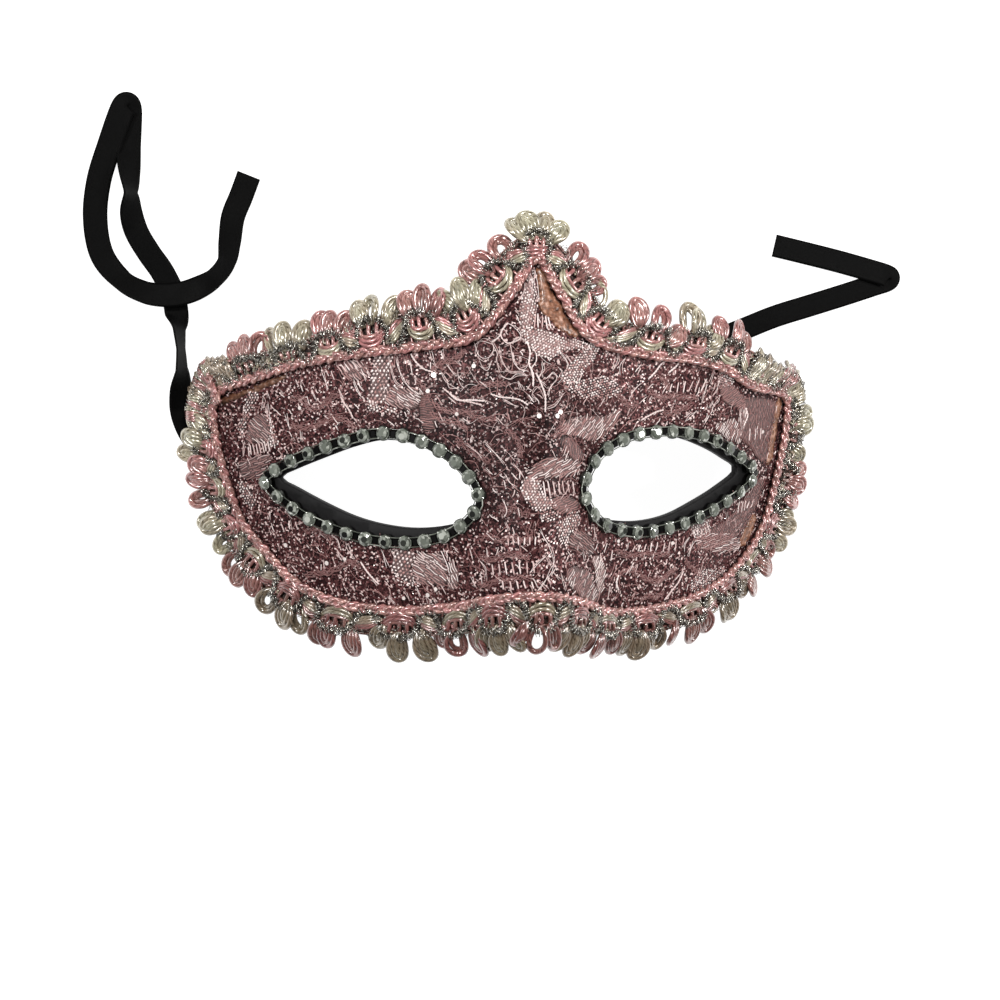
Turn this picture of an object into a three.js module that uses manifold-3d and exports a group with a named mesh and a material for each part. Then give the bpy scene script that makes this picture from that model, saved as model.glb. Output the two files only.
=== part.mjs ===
// A masquerade half mask that lies face up on its temples.
// A curved black base carries a lace cover, a looped braid round its edge, a line of
// cut stones round each eye and two ribbon ties.
// Millimetres. X runs across the face, Y up the face and Z out of the face, and the
// surface that the mask lies on is Z = 0. Plan sizes are measured from the point
// between the eyes, and the last group moves them to the middle of the mask.
import * as THREE from 'three';
import { mergeVertices } from 'three/addons/utils/BufferGeometryUtils.js';
import Module from 'manifold-3d';

const wasm = await Module();
wasm.setup();

// The face: a dome that meets the table at its half span, with a nose ridge.
const HALF_SPAN_LEFT = 88.4;
const HALF_SPAN_RIGHT = 90;
const SPAN_HEIGHT = 20;
const SPAN_LEAN = 0.12;
const SPAN_ROUND = 3;
const SPAN_MIDDLE = 5;
const SPAN_REACH = 25;
const DOME_RISE = 48;
const DOME_POWER = 1.8;
const NOSE_RISE_AT_BROW = 3;
const NOSE_RISE_GAIN = 9;
const NOSE_HALF_WIDTH = 12;
const NOSE_WIDTH_GAIN = 5;
const NOSE_TOP = 56;
const NOSE_LENGTH = 80;
const EDGE_FALL = 3;
const EDGE_FALL_START = 2;
const EDGE_FALL_REACH = 40;
const SOCKET_DEPTH = 1.5;
const SOCKET_CENTRE = 40;
const SOCKET_HALF_WIDTH = 26;
const SOCKET_HALF_HEIGHT = 14;

// Thicknesses, and the gap between pieces that are glued together.
const BASE_THICKNESS = 2.2;
const LACE_THICKNESS = 0.6;
const GLUE_GAP = 0.35;
const LACE_TOP = GLUE_GAP + LACE_THICKNESS;

// The plan grid of the curved sheets.
const GRID_X = 99;
const GRID_Y_LOW = -50;
const GRID_Y_HIGH = 72;
const GRID_STEP_X = 11;
const GRID_STEP_Y = 12.2;
const GRID_DEPTH = 39;

// The braid: one rib for each cluster of loops, clockwise from the crest. A rib runs
// from the chain at the braid's inner edge to the root of the cluster.
const RIBS = [
  [0, 56.5, 0, 63.5],
  [4.4, 48.5, 11.6, 53.4],
  [12.6, 37.4, 18.5, 43.4],
  [29.5, 33.2, 33, 40.6],
  [43, 32.2, 46.5, 39.6],
  [54.5, 29.8, 58, 37.4],
  [65, 24.8, 69.5, 33],
  [78.1, 22.2, 83, 26.4],
  [78.8, 13, 85, 12.2],
  [76.3, 0, 84, -2],
  [73.3, -12.6, 80.5, -15.2],
  [67.4, -21.6, 73.4, -25.6],
  [58.5, -27.8, 62.6, -33.2],
  [47, -31.5, 49, -38.4],
  [32.5, -32.8, 33, -40.2],
  [20.5, -31.9, 20, -38.6],
  [11.8, -28, 10.5, -35.8],
  [1, -25.1, 1, -34.4],
  [-9.2, -26.8, -8.5, -35.4],
  [-17.5, -30, -17.5, -37.6],
  [-30.5, -32.5, -31, -40.1],
  [-45.5, -32.1, -47.5, -39.8],
  [-56.5, -28, -60, -35],
  [-64.8, -19.6, -69.6, -26.6],
  [-70.4, -12.8, -76.4, -15.8],
  [-73.8, -4.2, -80.6, -4.6],
  [-76.5, 5, -82.8, 6.2],
  [-78, 13.8, -84, 16.4],
  [-76.8, 20.2, -80.4, 27],
  [-67.6, 24.5, -70.2, 30.2],
  [-58.5, 28, -59.8, 33.8],
  [-49, 30.5, -50, 37.2],
  [-38.6, 32.1, -39.6, 41],
  [-26.6, 33.9, -28.4, 43],
  [-13.8, 36.8, -18, 44.8],
  [-4.8, 48.5, -11.6, 54],
];
const STATIONS_PER_RIB = 2;
// The braid's two ends meet at this rib, folded under with their loops.
const JOIN_RIB = 27;
const BRAID_OVERHANG = 0.6;
const CHAIN_RISE = 2.1;
const BRAID_RISE = 1.5;
const PURL_RISE = 2.4;

// The loops: three for each cluster, fanned from its root and pressed flat as one.
const LOOP_SIDES = [-1, 0, 1];
const LOOP_SPACING = 3.2;
const LOOP_FAN = 0.3;
const CREST_FAN = 0.85;
const LOOP_REACH = 7.4;
const LOOP_HALF_WIDTH = 1.8;
const LOOP_SHOULDER = 1.6;
const LOOP_NOTCH = 4.4;
const LOOP_THICKNESS = 2.3;
const CLUSTER_ROOT = 1;
const LOOP_ROOT_RISE = 1.9;
const LOOP_DROOP = 3;
const LOOP_DROOP_START = 8;
const LOOP_SQUASH = 2.4;

// Eye openings and the middle lines of the stone trims, as closed curves.
const EYE_LEFT = [
  [-62.6, -1.3], [-58.5, 1.4], [-51, 5.1], [-43.6, 8.4], [-36.3, 10.5], [-29, 9.6],
  [-21.7, 6.2], [-16.2, 1], [-13.9, -3.8], [-16, -8], [-21.5, -10.5], [-28.6, -11.8],
  [-36, -11.5], [-43.3, -10], [-50.8, -7.1], [-58.5, -3.5],
];
const EYE_RIGHT = [
  [14, -0.8], [15.6, 4.6], [21.2, 9.6], [28.4, 12], [35.7, 12.8], [43.5, 11.6],
  [51.8, 8.8], [58.4, 5.7], [63.8, 2.1], [57.1, -2.2], [48.8, -5.8], [40.9, -8.6],
  [33.2, -9.8], [25.6, -9.5], [18, -7.4],
];
const STONES_LEFT = [
  [-65.2, -2.4], [-61.4, 2.1], [-54.2, 6.3], [-45.8, 10], [-36.3, 12.5], [-26, 10.5],
  [-17.3, 4.8], [-12.9, -3.6], [-18.4, -11.4], [-27.2, -15], [-37.5, -15.4],
  [-47, -13.5], [-56.2, -9.8],
];
const STONES_RIGHT = [
  [28.4, 13.4], [39.3, 13.9], [49.8, 12.2], [58.1, 8.8], [64.9, 4.6], [68.4, 1.6],
  [66, -2], [58.2, -6.1], [48.7, -9.8], [38.7, -12], [28.1, -12.4], [17.5, -9.2],
  [11.8, -1.7], [13.3, 4.4], [17, 8.7], [22.6, 11.6],
];
const EYE_SEGMENTS = 20;
const STONE_COUNT = 26;
const STONE_HALF_WIDTH = 2;
const STONE_SEAT = 0.5;
const STONE_RISE = 2.3;
const LINK_HALF_WIDTH = 1.35;
const LINK_RISE = 1.2;

// The ribbon ties: quarter inch satin. Each route point is x, y, z and the ribbon's
// turn about its own line in degrees, from the glued end to the cut end.
const RIBBON_WIDTH = 6.4;
const RIBBON_THICKNESS = 0.4;
const RIBBON_STEPS = 42;
const RIBBON_CLEARANCE = 0.05;
const ROUTE_LEFT = [
  [-68, 2.4, 12.1, 0], [-73, 2.6, 6.8, 0], [-78, 3.2, 1.2, 0], [-82, 4.6, 0.4, 0],
  [-85, 7.4, 0.4, 0], [-87.1, 11, 0.4, 2], [-88.4, 15.4, 0.5, 6], [-88.6, 21, 1.6, 26],
  [-88.4, 26.5, 3, 64], [-88.6, 32, 3.2, 72], [-89.1, 37.4, 3, 62], [-89.8, 41.4, 1.2, 12],
  [-90.3, 44.4, 0.4, 0], [-91.3, 47.8, 0.4, 0], [-93.9, 52.8, 0.4, 2], [-97.2, 57.4, 0.4, 0],
  [-100.4, 62.8, 0.6, 4], [-101.8, 68, 1.6, 28], [-101.8, 73, 2.9, 62], [-102.2, 78, 2, 36],
  [-102.5, 84, 0.6, 6], [-102.3, 90, 0.4, 0], [-102.2, 94.6, 0.6, 0], [-102.8, 96.2, 1.1, 0],
  [-104.2, 94.4, 1.6, 0], [-107.2, 85.8, 1.3, 0], [-110.2, 76, 0.8, 0], [-111.2, 66, 0.6, 0],
  [-109.4, 56.4, 1, -8], [-104, 49.8, 2.2, -34], [-98.4, 46.9, 2.6, -24],
  [-93.6, 46.2, 2.3, -8], [-89.2, 46.6, 2.1, -4], [-84.6, 48.2, 1.9, -14],
  [-79.8, 51.2, 2, -38], [-76.6, 55.6, 2.2, -42], [-75.8, 61, 1.4, -22],
  [-75, 67.6, 0.8, -8], [-72.8, 73.4, 0.5, 0], [-70.8, 79, 0.4, 0],
];
const ROUTE_RIGHT = [
  [77.6, -2, 4.6, 41], [78, 4, 4.8, 41], [77.8, 10, 4.3, 36], [76.2, 15.4, 2.8, 22],
  [72, 19.2, 1.4, 8], [66, 20.8, 0.6, 0], [59, 20.6, 0.4, 0], [51, 19, 0.5, 4],
  [44, 16.8, 1.4, 26], [37, 15.8, 2.8, 62], [30.6, 17.8, 3.3, 80], [27.6, 23.6, 3.3, 82],
  [30, 29.4, 3.3, 80], [36, 32.6, 2.8, 62], [44, 33.8, 1.4, 26], [53, 35.2, 0.5, 4],
  [62, 37.8, 0.4, 0], [70.4, 41.2, 0.4, 0], [79.6, 45, 0.4, 0], [90, 48.4, 0.4, 0],
  [101, 52, 0.4, 0], [109.4, 54.9, 0.5, 0], [112.8, 56.1, 0.9, 0], [113.6, 57, 1.3, 0],
  [112, 57.8, 1.6, 0], [107.4, 59, 1.4, 0], [98.2, 61.2, 0.9, 0], [87.6, 63.4, 0.6, 0],
  [78.4, 65.2, 0.5, 0],
];

// Where the middle of the mask lies, seen from the point between the eyes.
const MIDDLE_X = 1.05;
const MIDDLE_Y = 11.55;

const clamp = THREE.MathUtils.clamp;
const UP = new THREE.Vector3(0, 0, 1);

// The height of the base's front face.
function faceHeight(x, y) {
  const round = SPAN_ROUND * clamp((y - SPAN_MIDDLE) / SPAN_REACH, -1, 1) ** 2;
  const halfSpan = x < 0 ? HALF_SPAN_LEFT : HALF_SPAN_RIGHT;
  const across = Math.abs(x) / (halfSpan + SPAN_LEAN * (y - SPAN_HEIGHT) - round);
  const down = clamp((NOSE_TOP - y) / NOSE_LENGTH, 0, 1);
  const noseWidth = NOSE_HALF_WIDTH + NOSE_WIDTH_GAIN * down;
  const nose = (NOSE_RISE_AT_BROW + NOSE_RISE_GAIN * down) * Math.exp(-((x / noseWidth) ** 2));
  const dome = DOME_RISE * (1 - across ** DOME_POWER);
  const fall = EDGE_FALL * ((y - EDGE_FALL_START) / EDGE_FALL_REACH) ** 2;
  const socketX = (Math.abs(x) - SOCKET_CENTRE) / SOCKET_HALF_WIDTH;
  const socket = SOCKET_DEPTH * Math.exp(-(socketX ** 2) - (y / SOCKET_HALF_HEIGHT) ** 2);
  return dome + nose - fall * clamp(1 - across ** 2, 0, 1) - socket;
}

// The height of the loops' middle beyond the base's edge: near the table they droop
// further and are pressed flat on it.
function loopHeight(x, y) {
  const face = faceHeight(x, y);
  const droop = LOOP_DROOP * clamp(1 - face / LOOP_DROOP_START, 0, 1);
  return Math.max(face - droop, -LOOP_SQUASH);
}

// How much longer a thickness is along Z than across the sloping face.
function slopeFactor(x, y) {
  const slopeX = faceHeight(x + 0.5, y) - faceHeight(x - 0.5, y);
  const slopeY = faceHeight(x, y + 0.5) - faceHeight(x, y - 0.5);
  return Math.min(Math.sqrt(1 + slopeX ** 2 + slopeY ** 2), 1.5);
}

function baseBack(x, y) {
  return faceHeight(x, y) - BASE_THICKNESS * slopeFactor(x, y);
}

function toSolid(geometry) {
  const bare = geometry.clone();
  bare.deleteAttribute('normal');
  bare.deleteAttribute('uv');
  const merged = mergeVertices(bare, 1e-4);
  return new wasm.Manifold(new wasm.Mesh({
    numProp: 3,
    vertProperties: new Float32Array(merged.attributes.position.array),
    triVerts: new Uint32Array(merged.index.array),
  }));
}

function toGeometry(solid) {
  const mesh = solid.getMesh();
  const geometry = new THREE.BufferGeometry();
  geometry.setAttribute('position', new THREE.BufferAttribute(mesh.vertProperties, 3));
  geometry.setIndex(new THREE.BufferAttribute(mesh.triVerts, 1));
  geometry.computeVertexNormals();
  return geometry;
}

function buildGeometry(points, faces) {
  const geometry = new THREE.BufferGeometry();
  geometry.setAttribute('position', new THREE.Float32BufferAttribute(points.flat(), 3));
  geometry.setIndex(faces.flat());
  return geometry;
}

// A closed smooth curve through plan points, as count points.
function closedCurve(points, count) {
  const curve = new THREE.CatmullRomCurve3(
    points.map(([x, y]) => new THREE.Vector3(x, y, 0)), true, 'catmullrom', 0.5);
  return curve.getSpacedPoints(count).slice(0, count);
}

// A sheet over the whole plan grid, between two heights.
function gridSheet(lower, upper) {
  const columns = Math.round(2 * GRID_X / GRID_STEP_X);
  const rows = Math.round((GRID_Y_HIGH - GRID_Y_LOW) / GRID_STEP_Y);
  const points = [];
  const faces = [];
  for (const height of [lower, upper]) {
    for (let row = 0; row <= rows; row += 1) {
      for (let column = 0; column <= columns; column += 1) {
        const x = -GRID_X + 2 * GRID_X * column / columns;
        const y = GRID_Y_LOW + (GRID_Y_HIGH - GRID_Y_LOW) * row / rows;
        points.push([x, y, height(x, y)]);
      }
    }
  }
  const layer = (rows + 1) * (columns + 1);
  const at = (row, column) => row * (columns + 1) + column;
  for (let row = 0; row < rows; row += 1) {
    for (let column = 0; column < columns; column += 1) {
      const [a, b] = [at(row, column), at(row, column + 1)];
      const [c, d] = [at(row + 1, column + 1), at(row + 1, column)];
      faces.push([layer + a, layer + b, layer + c], [layer + a, layer + c, layer + d]);
      faces.push([a, c, b], [a, d, c]);
    }
  }
  const rim = [];
  for (let column = 0; column < columns; column += 1) rim.push(at(0, column));
  for (let row = 0; row < rows; row += 1) rim.push(at(row, columns));
  for (let column = columns; column > 0; column -= 1) rim.push(at(rows, column));
  for (let row = rows; row > 0; row -= 1) rim.push(at(row, 0));
  rim.forEach((a, index) => {
    const b = rim[(index + 1) % rim.length];
    faces.push([a, b, layer + b], [a, layer + b, layer + a]);
  });
  return toSolid(buildGeometry(points, faces));
}

// An upright prism over a closed plan outline.
function prism(outline) {
  const shape = new THREE.Shape(outline.map((point) => new THREE.Vector2(point.x, point.y)));
  const geometry = new THREE.ExtrudeGeometry(shape, { depth: 130, bevelEnabled: false });
  geometry.translate(0, 0, -40);
  return toSolid(geometry);
}

// Moves a closed plan outline outwards by a distance. Outlines here run clockwise.
function grow(outline, distance) {
  return outline.map((point, index) => {
    const before = outline[(index + outline.length - 1) % outline.length];
    const after = outline[(index + 1) % outline.length];
    const along = new THREE.Vector3().subVectors(after, before).normalize();
    return new THREE.Vector3(point.x - along.y * distance, point.y + along.x * distance, 0);
  });
}

// The braid's inner and outer lines, station by station.
function braidStations() {
  const count = RIBS.length * STATIONS_PER_RIB;
  const through = (first) => new THREE.CatmullRomCurve3(
    RIBS.map((rib) => new THREE.Vector3(rib[first], rib[first + 1], 0)), true, 'catmullrom', 0.5);
  const inner = through(0);
  const outer = through(2);
  return Array.from({ length: count }, (_, index) => ({
    inner: inner.getPoint(index / count),
    outer: outer.getPoint(index / count),
  }));
}

// The outline of the base, inside the braid's outer edge by a distance.
function baseOutline(inset) {
  return braidStations().map(({ inner, outer }) => {
    const width = inner.distanceTo(outer);
    return inner.clone().lerp(outer, 1 - inset / width);
  });
}

// A ring swept through sections, each a list of [x, y, z] in the same order.
function ringSolid(sections) {
  const size = sections[0].length;
  const faces = [];
  sections.forEach((_, index) => {
    const next = (index + 1) % sections.length;
    for (let corner = 0; corner < size; corner += 1) {
      const other = (corner + 1) % size;
      const [a, b] = [index * size + corner, index * size + other];
      const [c, d] = [next * size + other, next * size + corner];
      faces.push([a, b, c], [a, c, d]);
    }
  });
  const solid = toSolid(buildGeometry(sections.flat(), faces));
  return solid.volume() > 0 ? solid : toSolid(buildGeometry(sections.flat(), faces.map((f) => f.reverse())));
}

// The plan of a cluster: three round tipped lobes. X runs outwards from the root.
function clusterShape(fan) {
  const back = LOOP_SPACING / fan;
  const tip = back + LOOP_REACH;
  const polar = (radius, angle, aside) => new THREE.Vector2(
    radius * Math.cos(angle) - aside * Math.sin(angle) - back,
    radius * Math.sin(angle) + aside * Math.cos(angle));
  const edge = polar(back - CLUSTER_ROOT, fan, LOOP_HALF_WIDTH);
  const points = [new THREE.Vector2(edge.x, -edge.y)];
  for (const side of LOOP_SIDES) {
    if (side > LOOP_SIDES[0]) points.push(polar(tip - LOOP_NOTCH, (side - 0.5) * fan, 0));
    points.push(
      polar(tip - LOOP_SHOULDER, side * fan, -LOOP_HALF_WIDTH),
      polar(tip, side * fan, 0),
      polar(tip - LOOP_SHOULDER, side * fan, LOOP_HALF_WIDTH));
  }
  points.push(edge);
  return new THREE.Shape(points);
}

// A cluster of loops leaves the braid, follows its edge and droops to the table.
function clusterSolid([innerX, innerY, outerX, outerY], fan) {
  const outwards = new THREE.Vector3(outerX - innerX, outerY - innerY, 0).normalize();
  const sideways = new THREE.Vector3(-outwards.y, outwards.x, 0);
  const root = new THREE.Vector3(outerX, outerY, 0);
  const tip = root.clone().addScaledVector(outwards, LOOP_REACH);
  root.z = faceHeight(root.x, root.y) + LOOP_ROOT_RISE;
  tip.z = loopHeight(tip.x, tip.y);
  const left = root.clone().addScaledVector(sideways, LOOP_SPACING);
  const right = root.clone().addScaledVector(sideways, -LOOP_SPACING);
  sideways.z = (faceHeight(left.x, left.y) - faceHeight(right.x, right.y)) / (2 * LOOP_SPACING);
  sideways.normalize();
  const along = new THREE.Vector3().subVectors(tip, root);
  along.addScaledVector(sideways, -along.dot(sideways)).normalize();
  const upwards = new THREE.Vector3().crossVectors(along, sideways);
  const geometry = new THREE.ExtrudeGeometry(
    clusterShape(fan), { depth: LOOP_THICKNESS, bevelEnabled: false });
  geometry.translate(0, 0, -LOOP_THICKNESS / 2);
  geometry.applyMatrix4(new THREE.Matrix4().makeBasis(along, sideways, upwards));
  geometry.translate(root.x, root.y, root.z);
  return toSolid(geometry);
}

// The flat band of the braid, thick at the chain and at the purl.
function braidBand() {
  return ringSolid(braidStations().map(({ inner, outer }) => {
    const rise = (share, height) => {
      const point = inner.clone().lerp(outer, share);
      return [point.x, point.y, faceHeight(point.x, point.y) + LACE_TOP + height];
    };
    return [
      rise(0, GLUE_GAP), rise(1, GLUE_GAP),
      rise(1, PURL_RISE), rise(0.4, BRAID_RISE), rise(0, CHAIN_RISE),
    ];
  }));
}

// The upright frame of a ribbon at each step: place, width direction and face normal.
function ribbonFrames(route, steps) {
  const curve = new THREE.CatmullRomCurve3(
    route.map(([x, y, z]) => new THREE.Vector3(x, y, z)), false, 'catmullrom', 0.5);
  const frames = [];
  let flat = null;
  for (let step = 0; step <= steps; step += 1) {
    const share = step / steps;
    const place = curve.getPoint(share);
    const along = curve.getTangent(share);
    const level = new THREE.Vector3().crossVectors(UP, along);
    if (!flat || level.length() > 0.3) {
      level.normalize();
      if (flat && flat.dot(level) < 0) level.negate();
      flat = level;
    }
    const spot = share * (route.length - 1);
    const before = Math.min(Math.floor(spot), route.length - 2);
    const turn = THREE.MathUtils.degToRad(
      THREE.MathUtils.lerp(route[before][3], route[before + 1][3], spot - before));
    const lift = new THREE.Vector3().crossVectors(along, flat);
    const width = flat.clone().multiplyScalar(Math.cos(turn)).addScaledVector(lift, Math.sin(turn));
    const normal = new THREE.Vector3().crossVectors(along, width).normalize();
    const drop = Math.abs(width.z) * RIBBON_WIDTH / 2 + Math.abs(normal.z) * RIBBON_THICKNESS / 2;
    place.z = Math.max(place.z, drop + RIBBON_CLEARANCE);
    frames.push({ place, width, normal });
  }
  return frames;
}

function ribbonSolid(route, width, thickness) {
  const frames = ribbonFrames(route, RIBBON_STEPS);
  const points = [];
  const faces = [];
  for (const frame of frames) {
    for (const [side, face] of [[-1, -1], [1, -1], [1, 1], [-1, 1]]) {
      const corner = frame.place.clone()
        .addScaledVector(frame.width, side * width / 2)
        .addScaledVector(frame.normal, face * thickness / 2);
      points.push([corner.x, corner.y, corner.z]);
    }
  }
  for (let step = 0; step < frames.length - 1; step += 1) {
    for (let corner = 0; corner < 4; corner += 1) {
      const other = (corner + 1) % 4;
      const [a, b] = [step * 4 + corner, step * 4 + other];
      faces.push([a, b, b + 4], [a, b + 4, a + 4]);
    }
  }
  const last = (frames.length - 1) * 4;
  faces.push([0, 2, 1], [0, 3, 2], [last, last + 1, last + 2], [last, last + 2, last + 3]);
  const solid = toSolid(buildGeometry(points, faces));
  return solid.volume() > 0 ? solid : toSolid(buildGeometry(points, faces.map((f) => f.reverse())));
}

// A band round an eye that swells into one cut stone after another.
function stoneTrim(line) {
  const places = closedCurve(line, STONE_COUNT * 2);
  const sections = places.map((_, index) => {
    const stone = index % 2 === 0;
    const halfWidth = stone ? STONE_HALF_WIDTH : LINK_HALF_WIDTH;
    const rise = GLUE_GAP + (stone ? STONE_RISE : LINK_RISE);
    const corner = (side, height) => {
      const point = grow(places, side)[index];
      return [point.x, point.y, faceHeight(point.x, point.y) + LACE_TOP + height];
    };
    return [
      corner(-halfWidth, STONE_SEAT), corner(halfWidth, STONE_SEAT), corner(halfWidth, rise * 0.6),
      corner(0, rise), corner(-halfWidth, rise * 0.6),
    ];
  });
  return ringSolid(sections);
}

const eyeHoles = [EYE_LEFT, EYE_RIGHT].map((eye) => closedCurve(eye, EYE_SEGMENTS));
const stoneLines = [STONES_LEFT, STONES_RIGHT].map((line) => closedCurve(line, EYE_SEGMENTS));

function baseSolid() {
  let base = gridSheet(baseBack, faceHeight).intersect(prism(baseOutline(BRAID_OVERHANG)));
  for (const eye of eyeHoles) base = base.subtract(prism(eye));
  return base;
}

function laceSolid() {
  const sheet = gridSheet(
    (x, y) => faceHeight(x, y) + GLUE_GAP, (x, y) => faceHeight(x, y) + LACE_TOP);
  let lace = sheet.intersect(prism(baseOutline(BRAID_OVERHANG + 0.6)));
  for (const line of stoneLines) lace = lace.subtract(prism(line));
  return lace;
}

function braidSolid() {
  let braid = braidBand();
  RIBS.forEach((rib, index) => {
    if (index !== JOIN_RIB) braid = braid.add(clusterSolid(rib, index === 0 ? CREST_FAN : LOOP_FAN));
  });
  const keepOut = gridSheet(
    () => -GRID_DEPTH, (x, y) => faceHeight(x, y) + LACE_TOP + GLUE_GAP * 0.6);
  braid = braid.subtract(keepOut.intersect(prism(baseOutline(BRAID_OVERHANG - GLUE_GAP))));
  const table = new THREE.BoxGeometry(260, 200, 30);
  table.translate(0, 0, -15);
  braid = braid.subtract(toSolid(table));
  for (const route of [ROUTE_LEFT, ROUTE_RIGHT]) {
    braid = braid.subtract(ribbonSolid(route, RIBBON_WIDTH + 0.8, RIBBON_THICKNESS + 3.2));
  }
  return braid;
}

function material(colour, roughness, metalness) {
  return new THREE.MeshStandardMaterial({ color: colour, roughness, metalness });
}

function named(name, solid, look) {
  const mesh = new THREE.Mesh(toGeometry(solid), look);
  mesh.name = name;
  return mesh;
}

const blackLook = material(0x141214, 0.85, 0);
const laceLook = material(0x7a5a68, 0.6, 0.1);
const braidLook = material(0xc79aa4, 0.5, 0);
const stoneLook = material(0x9aa29c, 0.2, 0.3);
const ribbonLook = material(0x101012, 0.45, 0);

const mask = new THREE.Group();
mask.position.set(-MIDDLE_X, -MIDDLE_Y, 0);
mask.add(
  named('mask_base', baseSolid(), blackLook),
  named('lace_cover', laceSolid(), laceLook),
  named('braid_trim', braidSolid(), braidLook),
  named('stone_trim_left', stoneTrim(STONES_LEFT), stoneLook),
  named('stone_trim_right', stoneTrim(STONES_RIGHT), stoneLook),
  named('tie_left', ribbonSolid(ROUTE_LEFT, RIBBON_WIDTH, RIBBON_THICKNESS), ribbonLook),
  named('tie_right', ribbonSolid(ROUTE_RIGHT, RIBBON_WIDTH, RIBBON_THICKNESS), ribbonLook),
);

export default mask;
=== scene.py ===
from contextlib import contextmanager
import math
import random

import bpy
import numpy as np
from mathutils import Matrix, Vector
from mathutils.geometry import delaunay_2d_cdt


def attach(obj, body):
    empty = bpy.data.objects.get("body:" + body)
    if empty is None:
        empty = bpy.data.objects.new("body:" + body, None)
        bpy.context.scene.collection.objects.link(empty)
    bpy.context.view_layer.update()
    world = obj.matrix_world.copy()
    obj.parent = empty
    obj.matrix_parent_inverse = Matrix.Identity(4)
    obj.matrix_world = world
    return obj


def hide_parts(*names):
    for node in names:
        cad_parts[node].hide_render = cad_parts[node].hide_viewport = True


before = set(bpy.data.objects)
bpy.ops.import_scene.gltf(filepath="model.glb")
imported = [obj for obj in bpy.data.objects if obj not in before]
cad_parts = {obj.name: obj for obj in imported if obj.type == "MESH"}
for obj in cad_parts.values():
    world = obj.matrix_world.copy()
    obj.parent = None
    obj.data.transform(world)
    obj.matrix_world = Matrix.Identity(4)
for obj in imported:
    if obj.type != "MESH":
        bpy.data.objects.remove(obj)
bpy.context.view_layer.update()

# A masquerade half mask, lying face up. Plan sizes are millimetres from the point
# between the eyes, as the mask was measured, and metre() moves them to the frame.
MM = 0.001
MIDDLE = np.array([1.05, 11.55, 0.0])
SEED = 7

# The face: a dome that meets the table at its half span, with a nose ridge.
HALF_SPAN_LEFT = 88.4
HALF_SPAN_RIGHT = 90.0
SPAN_HEIGHT = 20.0
SPAN_LEAN = 0.12
SPAN_ROUND = 3.0
SPAN_MIDDLE = 5.0
SPAN_REACH = 25.0
DOME_RISE = 48.0
DOME_POWER = 1.8
NOSE_RISE_AT_BROW = 3.0
NOSE_RISE_GAIN = 9.0
NOSE_HALF_WIDTH = 12.0
NOSE_WIDTH_GAIN = 5.0
NOSE_TOP = 56.0
NOSE_LENGTH = 80.0
EDGE_FALL = 3.0
EDGE_FALL_START = 2.0
EDGE_FALL_REACH = 40.0
SOCKET_DEPTH = 1.5
SOCKET_CENTRE = 40.0
SOCKET_HALF_WIDTH = 26.0
SOCKET_HALF_HEIGHT = 14.0

# The board and its glittered cover: thickness, bevel, inset from the braid's outer edge
# and the grid they are divided into before they are bent.
BASE_THICKNESS = 2.2
BASE_BEVEL = 0.35
BASE_GRID = 3.0
BRAID_OVERHANG = 0.6
LACE_INSET = 1.2
COVER_THICKNESS = 0.6
COVER_BEVEL = 0.12
COVER_GRID = 2.4
COVER_RISE = 0.95
EYE_POINTS = 64
EDGE_ANGLE = math.radians(50)

# The lace: the radii of its threads, the pitch of a twisted cord, and rises above the cover.
BRIGHT_RADIUS = 0.075
LADDER_RADIUS = 0.19
CORD_RADIUS = 0.13
CORD_PITCH = 1.7
BAND_RADIUS = 0.085
NET_RADIUS = 0.085
BROW_RADIUS = 0.06
LOOSE_RADIUS = 0.13
KNOT_RISE = 0.17
HATCH_RISE = 0.16
# Raised stitches by kind: the pitch of their rows, their pitch in a row and their size.
KNOT_GRIDS = {"knots": (0.6, 0.78, 0.86), "dots": (0.86, 1.02, 1.05)}
# How bright a patch's film is, as a share of the patch's brightness.
FILM_TONES = {"gauze": 0.5, "hatch": 0.34}
# Counts, the share of the flakes painted near white, as silver glitter with painted glints, and the sizes
# of a flake and of a large one.
NET_THREADS = 470
BROW_THREADS = 440
LOOSE_ENDS = 260
FLAKES = 5000
BRIGHT_FLAKES = 0.17
FLAKE_SIZES = (0.17, 0.34)
SPARKLE_SIZES = (1.0, 1.4)

# The braid's parts, as shares of a unit from rib to rib, and the way of its silver wire
# round a unit as station and share.
SCALLOP_HALF = 0.3
SCALLOP_DEPTH = 0.5
LEAF_HALF = 0.22
LOOP_SHARE = 0.3
CREST_LOOPS = (-1, -0.3, 0.25, 1)
PURL_MEANDER = [
    (-0.22, 0.97), (0, 1.03), (0.22, 0.97), (0.31, 0.66), (0.36, 0.3), (0.42, 0.17), (0.58, 0.17),
    (0.64, 0.3), (0.69, 0.66),
]
# The wire's three windings: radius, pitch, sides and the wire's own radius.
WINDINGS = {
    "inner": (0.45, 0.62, 4, 0.12), "middle": (0.8, 0.74, 3, 0.11), "outer": (1.15, 0.9, 3, 0.11),
}
CHAIN_PITCH = 8.0
CHAIN_SHARE = 0.09
CHAIN_RISE = 2.15
JOIN_RISE = 3.2
GROUND_TOP = 1.6
GROUND_FOOT = 1.3
GROUND_SHARES = (0.02, 0.35, 0.68, 1.0)
# The tones of its two colours of satin.
PINK = 0.0
CREAM = 0.92

# The loops of the braid, which near the table droop and are pressed flat on it.
LOOP_FAN = 0.3
CREST_FAN = 0.85
LOOP_REACH = 7.4
LOOP_RADIUS = 0.84
LOOP_ROOT_RISE = 1.9
LOOP_DROOP = 3.0
LOOP_DROOP_START = 8.0
LOOP_SQUASH = 2.4
LOOP_FALL = 0.4
# A loop's count of nested cords and how far each crowns over the one outside it, and
# the share of loops that have one cord alone.
LOOP_NESTS = ((3, 0.4), (3, 0.3), (3, 0.5), (2, -0.5))
SINGLE_LOOPS = 0.03

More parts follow.
